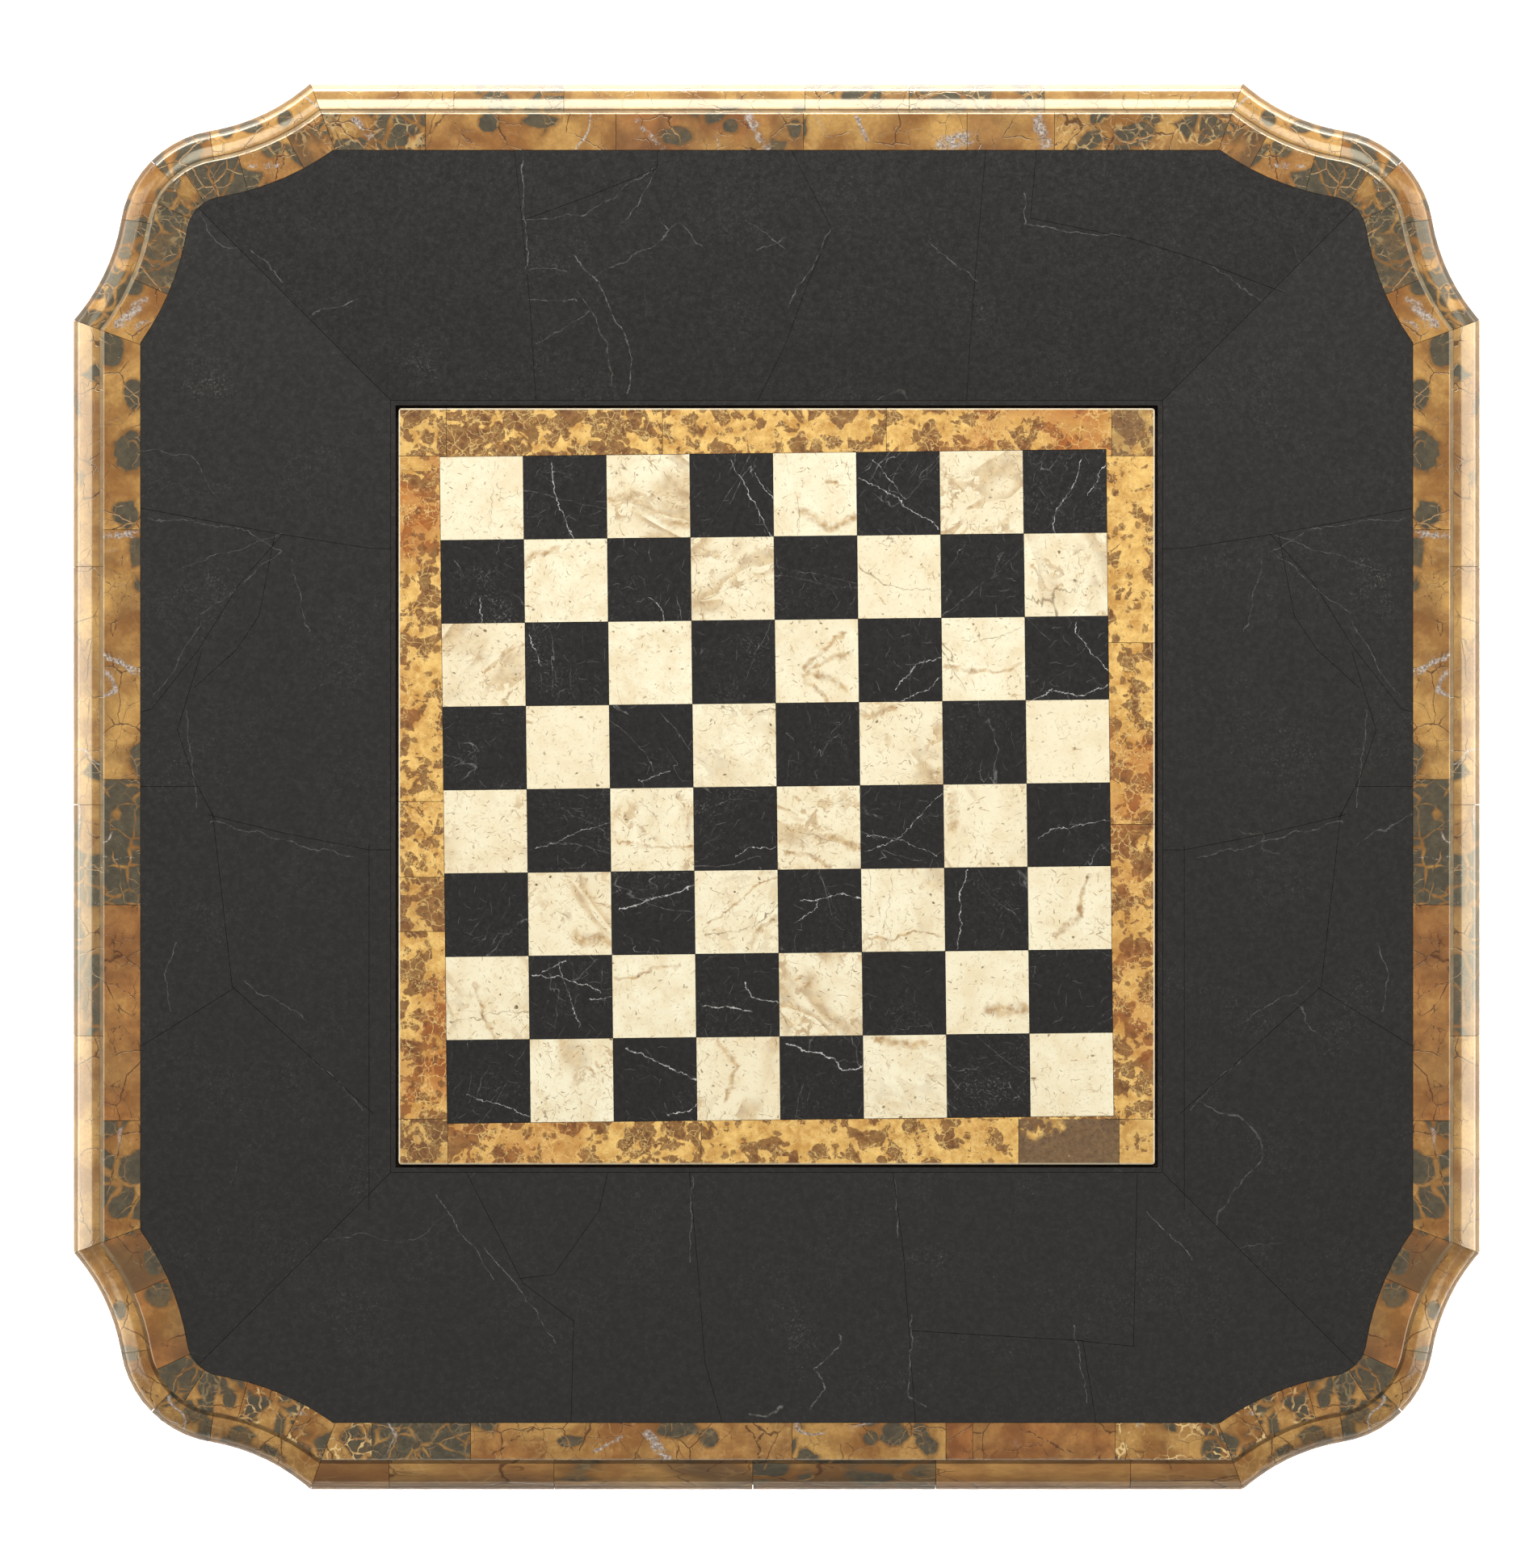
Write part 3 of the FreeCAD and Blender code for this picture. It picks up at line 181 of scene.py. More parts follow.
# Pale veins of the black field: half the breadth, then the spots they run through
FIELD_VEINS = {
    "back": (
        (0.5, 711, 315, 734, 342, 750, 368, 770, 409, 781, 444, 778, 485),
        (0.4, 734, 342, 778, 321, 805, 306, 828, 288, 816, 271),
        (0.4, 828, 288, 837, 277, 872, 309),
        (0.4, 714, 362, 731, 382, 746, 417, 758, 461, 757, 479),
        (0.4, 731, 382, 717, 394, 667, 426), (0.4, 767, 280, 790, 250, 811, 212),
        (0.6, 385, 388, 414, 379, 444, 368), (0.4, 309, 309, 332, 326, 350, 350),
        (0.4, 646, 274, 726, 265, 808, 209), (0.4, 646, 197, 652, 338), (0.4, 655, 331, 702, 336),
        (0.4, 655, 372, 714, 373), (0.4, 922, 271, 940, 282, 972, 306), (0.4, 937, 312, 972, 294),
        (0.5, 1268, 240, 1270, 276, 1300, 283, 1392, 293), (0.4, 1150, 300, 1210, 350),
        (0.4, 1030, 284, 974, 382), (0.4, 1500, 330, 1560, 372),
    ),
    "front": (
        (0.6, 1038, 1652, 1042, 1662, 1008, 1694, 1022, 1718, 1002, 1744),
        (1.2, 926, 1750, 946, 1752, 966, 1742), (0.4, 1128, 1626, 1124, 1728, 1146, 1742),
        (0.4, 1330, 1640, 1346, 1738), (0.4, 600, 1544, 640, 1590, 690, 1664),
        (0.4, 540, 1478, 612, 1582), (0.4, 855, 1456, 856, 1560), (0.4, 1108, 1458, 1112, 1532),
        (0.4, 450, 1400, 498, 1448, 520, 1440), (0.4, 1420, 1500, 1480, 1560),
    ),
    "side": (
        (0.4, 182, 641, 300, 654, 346, 682), (0.4, 346, 682, 250, 762), (0.4, 226, 704, 350, 660),
        (0.4, 190, 862, 250, 770), (0.4, 262, 1015, 350, 1040, 442, 1062),
        (0.4, 386, 1308, 420, 1340, 452, 1376), (0.5, 216, 1168, 204, 1206, 214, 1252),
        (0.4, 300, 1216, 380, 1262), (0.4, 230, 880, 246, 1000), (0.4, 360, 690, 380, 780),
    ),
}
# Where the field is dustier: the middle of each spot and its two half breadths
FIELD_DUST = {
    "back": ((700, 300, 60, 55), (520, 462, 60, 25)),
    "front": ((960, 1640, 70, 60),),
    "side": ((240, 740, 75, 75), (250, 480, 60, 25)),
}
MOULDING_CORNER_MARKS = {
    "dark": (
        (243, 170, 17, 8), (280, 162, 9, 8), (311, 156, 15, 8), (352, 146, 9, 11),
        (174, 279, 9, 12), (154, 313, 9, 8), (138, 346, 11, 9), (120, 362, 9, 8),
        (147, 1622, 8, 11), (158, 1676, 13, 9), (241, 1750, 15, 12), (294, 1776, 13, 11),
    ),
    "crack": ((110, 254, 138, 260, 0.8), (132, 110, 150, 118, 0.8), (170, 1716, 196, 1732, 1.2)),
}

# White veins of the black squares: half the breadth, then the spots they run through
SQUARE_VEINS = (
    (0.4, 682, 572, 686, 606, 696, 634, 712, 671), (0.4, 904, 571, 929, 614, 958, 668),
    (0.3, 936, 586, 957, 618), (0.4, 593, 740, 596, 773), (0.3, 803, 739, 818, 752, 823, 772),
    (0.3, 657, 786, 671, 826), (0.3, 789, 968, 828, 956), (0.4, 1063, 594, 1098, 608, 1163, 655),
    (0.3, 1082, 570, 1120, 618), (0.4, 1338, 570, 1330, 598, 1307, 632, 1304, 664),
    (0.3, 1369, 574, 1347, 614), (0.4, 1332, 772, 1331, 784, 1373, 830),
    (0.4, 1272, 869, 1301, 855, 1340, 861, 1373, 848), (0.3, 1107, 853, 1136, 822, 1166, 813),
    (0.3, 1110, 871, 1148, 852, 1166, 838), (0.3, 664, 1051, 728, 1027, 757, 1016),
    (0.3, 911, 1060, 928, 1050, 964, 1047), (0.7, 766, 1126, 814, 1110, 840, 1105, 864, 1094),
    (0.4, 660, 1208, 696, 1211, 746, 1228), (0.4, 672, 1204, 703, 1188),
    (0.3, 691, 1187, 699, 1219, 719, 1273), (0.3, 730, 1237, 762, 1233),
    (0.7, 869, 1246, 911, 1247, 931, 1253), (0.5, 924, 1216, 931, 1236, 968, 1244),
    (0.5, 774, 1297, 818, 1316, 868, 1340), (0.4, 827, 1382, 856, 1374, 869, 1363),
    (0.3, 577, 1357, 627, 1369, 660, 1385), (0.3, 1072, 1054, 1110, 1039, 1130, 1019, 1166, 982),
    (0.3, 1072, 1033, 1110, 1038, 1160, 1060), (0.3, 1285, 1038, 1304, 1027, 1376, 1014),
    (0.4, 991, 1115, 1020, 1113, 1042, 1107, 1069, 1113), (0.3, 983, 1143, 1008, 1126, 1013, 1114),
    (0.4, 1198, 1077, 1188, 1108, 1190, 1144, 1183, 1176),
    (0.6, 972, 1293, 1032, 1311, 1045, 1326, 1072, 1318),
)
DUSTY_SPOTS = ((1234, 1128, 50, 62), (1240, 1340, 62, 58), (598, 738, 56, 48), (912, 826, 50, 54))
# Tan bands and brown cracks of the cream squares, in the same form
SQUARE_BANDS = (
    (4.5, 754, 618, 784, 621, 816, 637, 855, 656), (3.5, 651, 700, 664, 684, 688, 677),
    (2.6, 600, 831, 622, 817, 647, 798), (4.5, 991, 634, 1022, 649, 1060, 645),
    (3, 1022, 600, 1034, 600), (3.2, 998, 824, 1044, 784), (3.2, 1002, 828, 1052, 812),
    (3.2, 1002, 832, 1050, 850), (3, 998, 834, 1022, 868), (2.2, 1173, 827, 1226, 834, 1262, 820),
    (2.2, 1280, 700, 1296, 734, 1314, 728), (4, 1075, 886, 1100, 880),
    (1.6, 768, 1041, 812, 1051, 864, 1054), (3.2, 717, 1085, 727, 1107, 762, 1123),
    (6.5, 712, 1160, 756, 1168), (1.6, 883, 1144, 930, 1104, 964, 1082),
    (3, 930, 1173, 943, 1144, 965, 1135), (2.2, 588, 1219, 597, 1250, 611, 1283),
    (2.4, 766, 1213, 812, 1200, 840, 1197), (3, 889, 1290, 911, 1322, 902, 1363),
    (3.6, 968, 1022, 1007, 1040, 1032, 1035, 1069, 1053), (2.8, 972, 1054, 1001, 1061, 1030, 1075),
    (5, 1180, 980, 1180, 1026), (1.6, 1075, 1157, 1100, 1165, 1129, 1154, 1173, 1157),
    (2.6, 1348, 1085, 1335, 1135, 1307, 1160), (6, 1222, 1250, 1266, 1252),
    (4.5, 1088, 1288, 1146, 1292), (3, 985, 1212, 1003, 1212, 1003, 1226, 987, 1228),
)
SQUARE_CRACKS = (
    (0.6, 558, 1266, 606, 1258, 658, 1252), (0.6, 874, 1158, 912, 1157, 962, 1125),
    (0.6, 1067, 700, 1090, 720, 1164, 733), (0.5, 871, 738, 900, 732, 940, 722),
    (0.5, 608, 574, 610, 612, 606, 660), (0.5, 789, 994, 812, 1014), (0.5, 860, 690, 872, 776),
    (0.5, 1106, 1080, 1098, 1172), (0.5, 1217, 795, 1262, 776),
)
# The floor of the groove between the border and the moulding
QUIRK_LEVEL = TOP_LEVEL - 0.0045
HALF_TURN = 3.1416
# How far apart the figures of two tiles are taken from the noises, so that none repeats
SCATTER = 7


class Graph:
    """Short calls that add and join the nodes of one material."""

    def __init__(self, name):
        self.material = bpy.data.materials.new(name)
        self.material.use_nodes = True
        self.tree = self.material.node_tree
        self.tree.nodes.clear()

    def node(self, kind, inputs=(), **settings):
        made = self.tree.nodes.new("ShaderNode" + kind)
        for key, setting in settings.items():
            setattr(made, key, setting)
        for key, given in dict(inputs).items():
            self.feed(made.inputs[key], given)
        return made

    def feed(self, socket, given):
        if isinstance(given, bpy.types.NodeSocket):
            self.tree.links.new(given, socket)
        else:
            socket.default_value = given

    def place(self):
        """Where a point lies on its piece, in metres; it moves with the piece."""
        return self.node("TexCoord").outputs["Object"]

    def folded(self):
        """The place with its left half laid over the right half."""
        x, y, z = self.split(self.place())
        return self.join(self.math("ABSOLUTE", x), y, z)

    def channels(self, colour):
        return self.node("SeparateColor", {"Color": colour}).outputs

    def chance_colour(self, number):
        """A random colour from one number."""
        made = self.node("TexWhiteNoise", {"W": number}, noise_dimensions="1D")
        return made.outputs["Color"]

    def chances(self, number):
        """Three random numbers from one number."""
        return self.channels(self.chance_colour(number))

    def math(self, operation, *values):
        return self.node("Math", enumerate(values), operation=operation).outputs[0]

    def plus(self, first, second):
        return self.math("ADD", first, second)

    def minus(self, first, second):
        return self.math("SUBTRACT", first, second)

    def vector_math(self, operation, *values):
        made = self.node("VectorMath", enumerate(values), operation=operation)
        is_number = operation in ("LENGTH", "DOT_PRODUCT", "DISTANCE")
        return made.outputs["Value" if is_number else "Vector"]

    def stretch(self, vector, factor):
        made = self.node("VectorMath", {"Vector": vector, "Scale": factor}, operation="SCALE")
        return made.outputs["Vector"]

    def lengthen(self, vector, share):
        """The vector with x cut to a share, which draws a figure out along x."""
        x, y, z = self.split(vector)
        return self.join(self.times(x, share), y, z)

    def split(self, vector):
        return self.node("SeparateXYZ", {"Vector": vector}).outputs

    def join(self, x, y, z):
        return self.node("CombineXYZ", {"X": x, "Y": y, "Z": z}).outputs[0]

    def turn(self, vector, angle):
        made = self.node("VectorRotate", {"Vector": vector, "Axis": (0, 0, 1), "Angle": angle})
        return made.outputs[0]

    def noise(self, vector, scale, detail=2, roughness=0.5, distortion=0, output="Fac"):
        return self.node("TexNoise", {
            "Vector": vector, "Scale": scale, "Detail": detail,
            "Roughness": roughness, "Distortion": distortion}).outputs[output]

    def cells(self, vector, scale, feature="F1"):
        return self.node("TexVoronoi", {"Vector": vector, "Scale": scale}, feature=feature).outputs

    def from_edge(self, vector, scale):
        """How far each point lies from the edges between the cells."""
        return self.cells(vector, scale, "DISTANCE_TO_EDGE")["Distance"]

    def range(self, value, low, high, to_low=0, to_high=1, kind="LINEAR"):
        """The value laid from one range over another."""
        return self.node("MapRange", {
            "Value": value, "From Min": low, "From Max": high,
            "To Min": to_low, "To Max": to_high}, interpolation_type=kind).outputs["Result"]

    def fade(self, value, low, high, to_low=0, to_high=1):
        """A smooth step of value between low and high."""
        return self.range(value, low, high, to_low, to_high, "SMOOTHSTEP")

    def blots(self, low, high, *noise):
        """A mask of soft blots: a noise faded between low and high."""
        return self.fade(self.noise(*noise), low, high)

    def times(self, first, *others):
        for given in others:
            first = self.math("MULTIPLY", first, given)
        return first

    def choose(self, switch, off, on):
        """The number off where switch is 0, and on where it is 1."""
        return self.range(switch, 0, 1, off, on)

    def highest(self, first, *others):
        for given in others:
            first = self.math("MAXIMUM", first, given)
        return first

    def lowest(self, first, *others):
        for given in others:
            first = self.math("MINIMUM", first, given)
        return first

    def mix(self, share, first, second, strength=1):
        """Two colours mixed by a share, which strength weakens."""
        if strength != 1:
            share = self.math("MULTIPLY", share, strength)
        made = self.node("Mix", data_type="RGBA")
        sockets = {item.identifier: item for item in (*made.inputs, *made.outputs)}
        for key, given in (("Factor_Float", share), ("A_Color", first), ("B_Color", second)):
            self.feed(sockets[key], given)
        return sockets["Result_Color"]

    def warp(self, vector, scale, reach, detail=2):
        """The vector pushed about by noise, by up to reach metres."""
        push = self.vector_math("SUBTRACT", self.noise(vector, scale, detail, output="Color"),
                                (0.5, 0.5, 0.5))
        return self.vector_math("ADD", vector, self.stretch(push, reach * 2))

    def thread(self, noise, half_width, middle=0.5):
        """A mask along the line where a noise passes its middle value."""
        away = self.math("ABSOLUTE", self.minus(noise, middle))
        return self.fade(away, half_width, 0)

    def flecks(self, place, scale, length, breadth, share):
        """Short straight flecks, one in a share of the cells, each turned its own way."""
        cell = self.cells(place, scale)
        parts = self.channels(cell["Color"])
        from_middle = self.vector_math("SUBTRACT", place, cell["Position"])
        turned = self.turn(from_middle, self.times(parts[0], HALF_TURN))
        x, y, z = self.split(turned)
        along = self.fade(self.math("ABSOLUTE", x), length / 2, length / 4)
        across = self.fade(self.math("ABSOLUTE", y), breadth / 2, breadth / 5)
        return self.times(along, across, self.math("LESS_THAN", parts[1], share),
                          self.range(parts[2], 0, 1, 0.4, 1))

    def dots(self, place, scale, radius, share):
        """Round dots of many sizes, one in a share of the cells."""
        cell = self.cells(place, scale)
        parts = self.channels(cell["Color"])
        wanted = self.times(self.range(parts[0], 0, 1, 0.4, 1), radius)
        away = self.minus(cell["Distance"], self.times(wanted, scale))
        mask = self.fade(away, 0.12, -0.05)
        return self.times(mask, self.math("LESS_THAN", parts[1], share))

    def streak(self, place, mark, softness=0.5):
        """A mask along a straight line between two spots of the photograph."""
        begin = spot(mark[0], mark[1])
        end = spot(mark[2], mark[3])
        run = [far - near for near, far in zip(begin, end)]
        square = run[0] ** 2 + run[1] ** 2
        from_begin = self.vector_math("SUBTRACT", place, begin)
        along = self.vector_math("DOT_PRODUCT", from_begin, [part / square for part in run])
        share = self.lowest(self.highest(along, 0), 1)
        away = self.vector_math("DISTANCE", from_begin, self.stretch(run, share))
        half = mark[4] * METRES_PER_PX
        return self.fade(away, half * (1 + softness), half * (1 - softness))

    def strokes(self, place, lines, softness):
        """A mask along several bent lines, each given by half its breadth and its spots."""
        x, y, z = self.split(place)
        flat = self.join(x, y, 0)
        mask = 0
        for half_breadth, *spots in lines:
            for number in range(0, len(spots) - 2, 2):
                mark = (*spots[number:number + 4], half_breadth)
                mask = self.highest(mask, self.streak(flat, mark, softness))
        return mask

    def oval(self, place, mark):
        """How far from a spot of the photograph, where 1 is the edge of its oval."""
        from_middle = self.vector_math("SUBTRACT", place, spot(mark[0], mark[1]))
        shrunk = self.vector_math("MULTIPLY", from_middle, (
            1 / (mark[2] * METRES_PER_PX), 1 / (mark[3] * METRES_PER_PX), 0))
        return self.vector_math("LENGTH", shrunk)

    def finish(self, colour, roughness, height=None, depth=0, coat=0, **sockets):
        """The surface shader, with its bump, and the finished material."""
        inputs = {"Base Color": colour, "Roughness": roughness}
        inputs.update({key.replace("_", " "): given for key, given in sockets.items()})
        if height is not None:
            bump = self.node("Bump", {"Height": height, "Distance": depth, "Strength": 1})
            inputs["Normal"] = bump.outputs["Normal"]
        if coat:
            inputs["Coat Weight"] = coat
            inputs["Coat Roughness"] = 0.05
        shader = self.node("BsdfPrincipled", inputs)
        output = self.node("OutputMaterial")
        self.tree.links.new(shader.outputs["BSDF"], output.inputs["Surface"])
        return self.material


def rgb(red, green, blue):
    """A colour given in screen values from 0 to 255, as linear light."""
    def linear(value):
        share = value / 255
        return share / 12.92 if share <= 0.04045 else ((share + 0.055) / 1.055) ** 2.4
    return (linear(red), linear(green), linear(blue), 1)


def spot(x_px, y_px):
    """A pixel of the photograph as a place on the top."""
    return ((x_px - MIDDLE_X_PX) * METRES_PER_PX, (MIDDLE_Y_PX - y_px) * METRES_PER_PX, 0)


# Ochre-brown figured stone

def figured_stone(g, place, tile, polish, marks=None, level_place=None, rim=None):
    """Gold-brown stone with dark rounded patches, cracks, quartz veins and a fine gold net.

    tile holds the shares of dark patches, of rust, of net and of smoky brown. rim is given for the
    moulding alone: how dull its steep outer face is and how much painted shade darkens it.
    """
    dark, rust, net, smoke = tile
    soft = g.warp(place, 35, 0.006)
    grain = g.noise(place, 420, 3, 0.7)
    gold = g.mix(g.blots(0.34, 0.66, soft, 30, 4, 0.6), rgb(148, 100, 50), rgb(212, 166, 94))
    rusty = g.mix(g.blots(0.35, 0.65, soft, 60, 3), rgb(128, 70, 42), rgb(176, 106, 58))
    rust_share = g.times(rust, g.blots(0.32, 0.6, place, 24, 3))
    colour = g.mix(rust_share, gold, rusty)
    smoky = g.times(smoke, g.blots(0.38, 0.66, soft, 26, 3, 0.6))
    colour = g.mix(smoky, colour, rgb(98, 76, 54))
    colour = g.mix(g.range(grain, 0.3, 0.7, 0, 0.36), colour, rgb(112, 72, 38))

    wander = g.times(g.minus(g.noise(place, 95, 3), 0.5), 0.22)
    bent = g.warp(place, 65, 0.0055, 1)
    edge = g.plus(g.from_edge(bent, 52), wander)
    cell = g.channels(g.cells(bent, 52)["Color"])
    chosen = g.math("LESS_THAN", cell[0], dark)
    seam = g.range(dark, 0, 1, 0.14, 0)
    inside = g.minus(edge, seam)
    patch = g.times(g.fade(inside, 0, 0.055), chosen)
    halo = g.times(g.fade(inside, -0.11, 0.03), chosen)
    if marks:
        wobble = g.times(g.minus(g.noise(level_place, 120, 3), 0.5), 0.9)
        nearest = g.lowest(*(
            g.plus(g.oval(level_place, mark), wobble) for mark in marks["dark"]))
        patch = g.highest(patch, g.fade(nearest, 1.04, 0.92))
        halo = g.highest(halo, g.fade(nearest, 1.35, 1))
    colour = g.mix(halo, colour, rgb(112, 76, 42), 0.6)
    mottle = g.blots(0.35, 0.7, place, 170, 5, 0.75)
    grey = g.mix(mottle, rgb(70, 65, 55), rgb(92, 84, 67))
    grey = g.mix(g.times(smoke, g.blots(0.45, 0.6, place, 80, 4, 0.7)), grey, rgb(116, 92, 62))
    colour = g.mix(patch, colour, grey)

    lace = g.from_edge(g.warp(g.warp(place, 95, 0.004), 300, 0.0012), 130)
    breadth = g.range(g.noise(place, 75, 2), 0.35, 0.65, 0, 0.09)
    strands = g.times(g.fade(g.minus(lace, breadth), 0.02, -0.02),
                      g.blots(0.36, 0.5, place, 38, 2), net)
    colour = g.mix(strands, colour, g.mix(g.blots(0.35, 0.65, place, 150, 2),
                                          rgb(150, 94, 46), rgb(230, 196, 134)))

    crack_place = g.warp(place, 55, 0.006, 5)
    crack = g.fade(g.from_edge(crack_place, 27), 0.014, 0.003)
    crack = g.times(crack, g.blots(0.43, 0.51, place, 31, 2))
    fine = g.fade(g.from_edge(g.warp(place, 120, 0.003, 4), 75), 0.022, 0.004)
    fine = g.times(fine, g.blots(0.46, 0.56, place, 42, 2), 0.75)
    crack = g.highest(crack, fine)
    ridge = g.noise(g.warp(place, 50, 0.004), 13, 1.5, 0.4, 0.4)
    vein = g.times(g.thread(ridge, 0.009), g.blots(0.58, 0.64, place, 19, 1))
    if marks:
        bent_level = g.warp(g.warp(level_place, 110, 0.003, 3), 380, 0.0018)
        crack = g.highest(crack, *(g.streak(bent_level, mark) for mark in marks.get("crack", ())))
        drawn = g.highest(0, *(g.streak(bent_level, mark) for mark in marks.get("quartz", ())))
        ragged = g.blots(0.36, 0.54, place, 150, 4, 0.6)
        vein = g.highest(vein, g.times(drawn, ragged))
    crack_colour = g.mix(patch, rgb(78, 44, 27), rgb(168, 120, 66))
    colour = g.mix(crack, colour, crack_colour, 0.85)
    crystals = g.noise(place, 620, 3, 0.8)
    quartz = g.mix(g.fade(crystals, 0.34, 0.7), rgb(112, 92, 78), rgb(212, 200, 188))
    colour = g.mix(vein, colour, quartz)
    pits = g.fade(g.cells(place, 330)["Distance"], 0.2, 0.08)
    pits = g.times(pits, g.blots(0.52, 0.62, place, 90, 2))
    colour = g.mix(pits, colour, rgb(66, 42, 26), 0.5)
    roughness = g.range(grain, 0.3, 0.7, 0.13, 0.22)
    height = g.minus(g.times(grain, 0.2), g.plus(crack, pits))
    coat = polish
    if rim is not None:
        colour, roughness, coat = moulding_dull_rim_and_painted_light(g, colour, roughness, polish, rim)
    return g.finish(colour, roughness, height, 0.00008, coat, IOR=1.5 + 0.85 * polish,
                    Specular_Tint=(1, 0.88, 0.6, 1))


def moulding_dull_rim_and_painted_light(g, colour, roughness, polish, rim):
    """Painted shade darkens the steep outer face, which is also rougher with less coat, and a
    painted highlight makes the quirk pale, but for the front's.
    """
    y, z = g.split(g.place())[1:]
    upright = g.split(g.node("TexCoord").outputs["Normal"])[2]
    steep = g.times(g.fade(upright, 0.64, 0.54), g.fade(upright, -0.25, 0), rim)
    # Painted shade: the steep outer face is darkened toward dark brown.
    colour = g.mix(steep, colour, rgb(64, 40, 20), 0.6)
    roughness = g.plus(roughness, g.times(steep, 0.6))
    coat = g.times(g.minus(1, steep), polish)
    # Painted highlight: the quirk's floor is painted pale on the back and the sides, not at the
    # front.
    floor = g.times(g.fade(upright, 0.97, 0.99),
                    g.fade(z, QUIRK_LEVEL + 0.0008, QUIRK_LEVEL + 0.0004))
    pale = g.times(floor, g.fade(y, -0.38, -0.3),
                   g.range(g.noise(g.place(), 90, 3), 0.3, 0.7, 0.3, 0.6))
    return g.mix(pale, colour, rgb(250, 226, 180)), roughness, coat


def scatter(g, place, number):
    """The place moved far off by a random number, so that each tile has its own figure."""
    return g.vector_math("ADD", place, g.stretch(g.chance_colour(number), SCATTER))


def passed(g, share, joints, begin=0):
    """How many of the joints lie before a share of the way along a row of tiles."""
    count = begin
    for joint in joints:
        count = g.plus(count, g.math("GREATER_THAN", share, joint))
    return count


def tile_values(g, count, tiles):
    """The three or four numbers of the tile with this count."""
    row = g.math("DIVIDE", g.plus(count, 0.5), len(tiles))
    characters = g.node("ValToRGB", {"Fac": row})
    ramp = characters.color_ramp
    ramp.interpolation = "CONSTANT"
    for number, tile in enumerate(tiles):
        begin = number / len(tiles)
        stop = ramp.elements[number] if number < 2 else ramp.elements.new(begin)
        stop.position = begin
        stop.color = (*tile, 1)[:4]
    parts = g.channels(characters.outputs["Color"])
    return parts[0], parts[1], parts[2], characters.outputs["Alpha"]


def square_count(g):
    """A number for each square of the turned chessboard."""
    turned = g.turn(g.place(), -PATTERN_TURN)
    x, y, z = g.split(g.stretch(turned, 1 / SQUARE_WIDTH))
    row = g.times(g.math("FLOOR", y), 8)
    return g.plus(g.math("FLOOR", x), row)


def frame_count(g):
    """A number for each tile of the panel's frame."""
    x, y, z = g.split(g.stretch(g.place(), 1 / PANEL_WIDTH))
    share_x = g.plus(x, 0.5)
    share_y = g.minus(0.5, y)
    counts = []
    begin = 0
    for side, share in (("back", share_x), ("front", share_x), ("left", share_y),
                        ("right", share_y)):
        counts.append(passed(g, share, PANEL_JOINTS[side], begin))
        begin += len(PANEL_JOINTS[side]) + 1
    is_back = g.math("LESS_THAN", share_y, PANEL_JOINTS["left"][0])
    is_front = g.math("GREATER_THAN", share_y, PANEL_JOINTS["left"][-1])
    is_right = g.math("GREATER_THAN", x, 0)
    count = g.choose(is_right, counts[2], counts[3])
    count = g.choose(is_front, count, counts[1])
    return g.choose(is_back, count, counts[0])


def quarter_count(g):
    """A number for each quarter round the middle, cut at the diagonals."""
    x, y, z = g.split(g.place())
    one = g.math("GREATER_THAN", y, x)
    other = g.math("GREATER_THAN", y, g.times(x, -1))
    return g.plus(one, g.times(other, 2))


def corner_count(g):
    """A number for each of the four corners."""
    x, y, z = g.split(g.place())
    right = g.math("GREATER_THAN", x, 0)
    return g.plus(right, g.times(g.math("GREATER_THAN", y, 0), 2))


def course_count(g, node_name, shares, count):
    """The count of a quarter or corner, raised by its course from the bottom up."""
    low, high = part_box(node_name)
    x, y, z = g.split(g.place())
    share = g.range(z, low.z, high.z)
    return g.plus(count, g.times(passed(g, share, shares), 4))


def face_count(g):
    """A number for each tile on the column's faces."""
    return course_count(g, "column_face_stone", FACE_COURSES, quarter_count(g))


def edge_count(g):
    """A number for each tile on the column's corners."""
    return course_count(g, "column_corner_stone", CORNER_COURSES, corner_count(g))


def point_count(g):
    """A number for each point of the backgammon ground."""
    x, y, z = g.split(g.place())
    along = g.minus(g.math("ABSOLUTE", x), BAR_HALF_WIDTH)
    step = g.math("FLOOR", g.math("DIVIDE", along, POINT_PITCH))
    return g.plus(step, g.times(corner_count(g), 10))


def side_stone(name, side, joints, tiles, seed, polish, marks=None, rim=None,
               grain=(1, 1, 1)):
    """Figured stone for one side's tiles, each with its own character.

    grain below 1 along an axis draws the figure out along it.
    """
    g = Graph(name)
    folded = side == "side"
    place = g.folded() if folded else g.place()
    x, y, z = g.split(place)
    run = g.times(y if folded else x, (-1 if folded else 1) / TOP_WIDTH)
    count = passed(g, g.plus(run, 0.5), joints)
    tile = tile_values(g, count, tiles)
    flat = g.join(g.times(x, -1) if folded else x, y, 0)
    drawn_out = g.vector_math("MULTIPLY", place, grain)
    return figured_stone(g, scatter(g, drawn_out, g.plus(count, seed)), tile, polish,
                         marks, flat, rim)


def corner_stone(name, joints, tiles, seed, polish, marks=None, rim=None):
    """Figured stone for the tiles round the corners; those at left and right match."""
    g = Graph(name)
    place = g.folded()
    x, y, z = g.split(place)
    quadrant = g.join(x, g.math("ABSOLUTE", y), 0)
    count = 0
    for across, offset in joints:
        count = g.plus(count, g.math(
            "GREATER_THAN", g.vector_math("DOT_PRODUCT", quadrant, across), offset))
    both = tiles["back"] + tiles["front"]
    front = g.math("LESS_THAN", y, 0)
    count = g.plus(count, g.times(front, len(tiles["back"])))
    tile = tile_values(g, count, both)
    flat = g.join(g.times(x, -1), y, 0)
    return figured_stone(g, scatter(g, place, g.plus(count, seed)), tile, polish, marks, flat, rim)


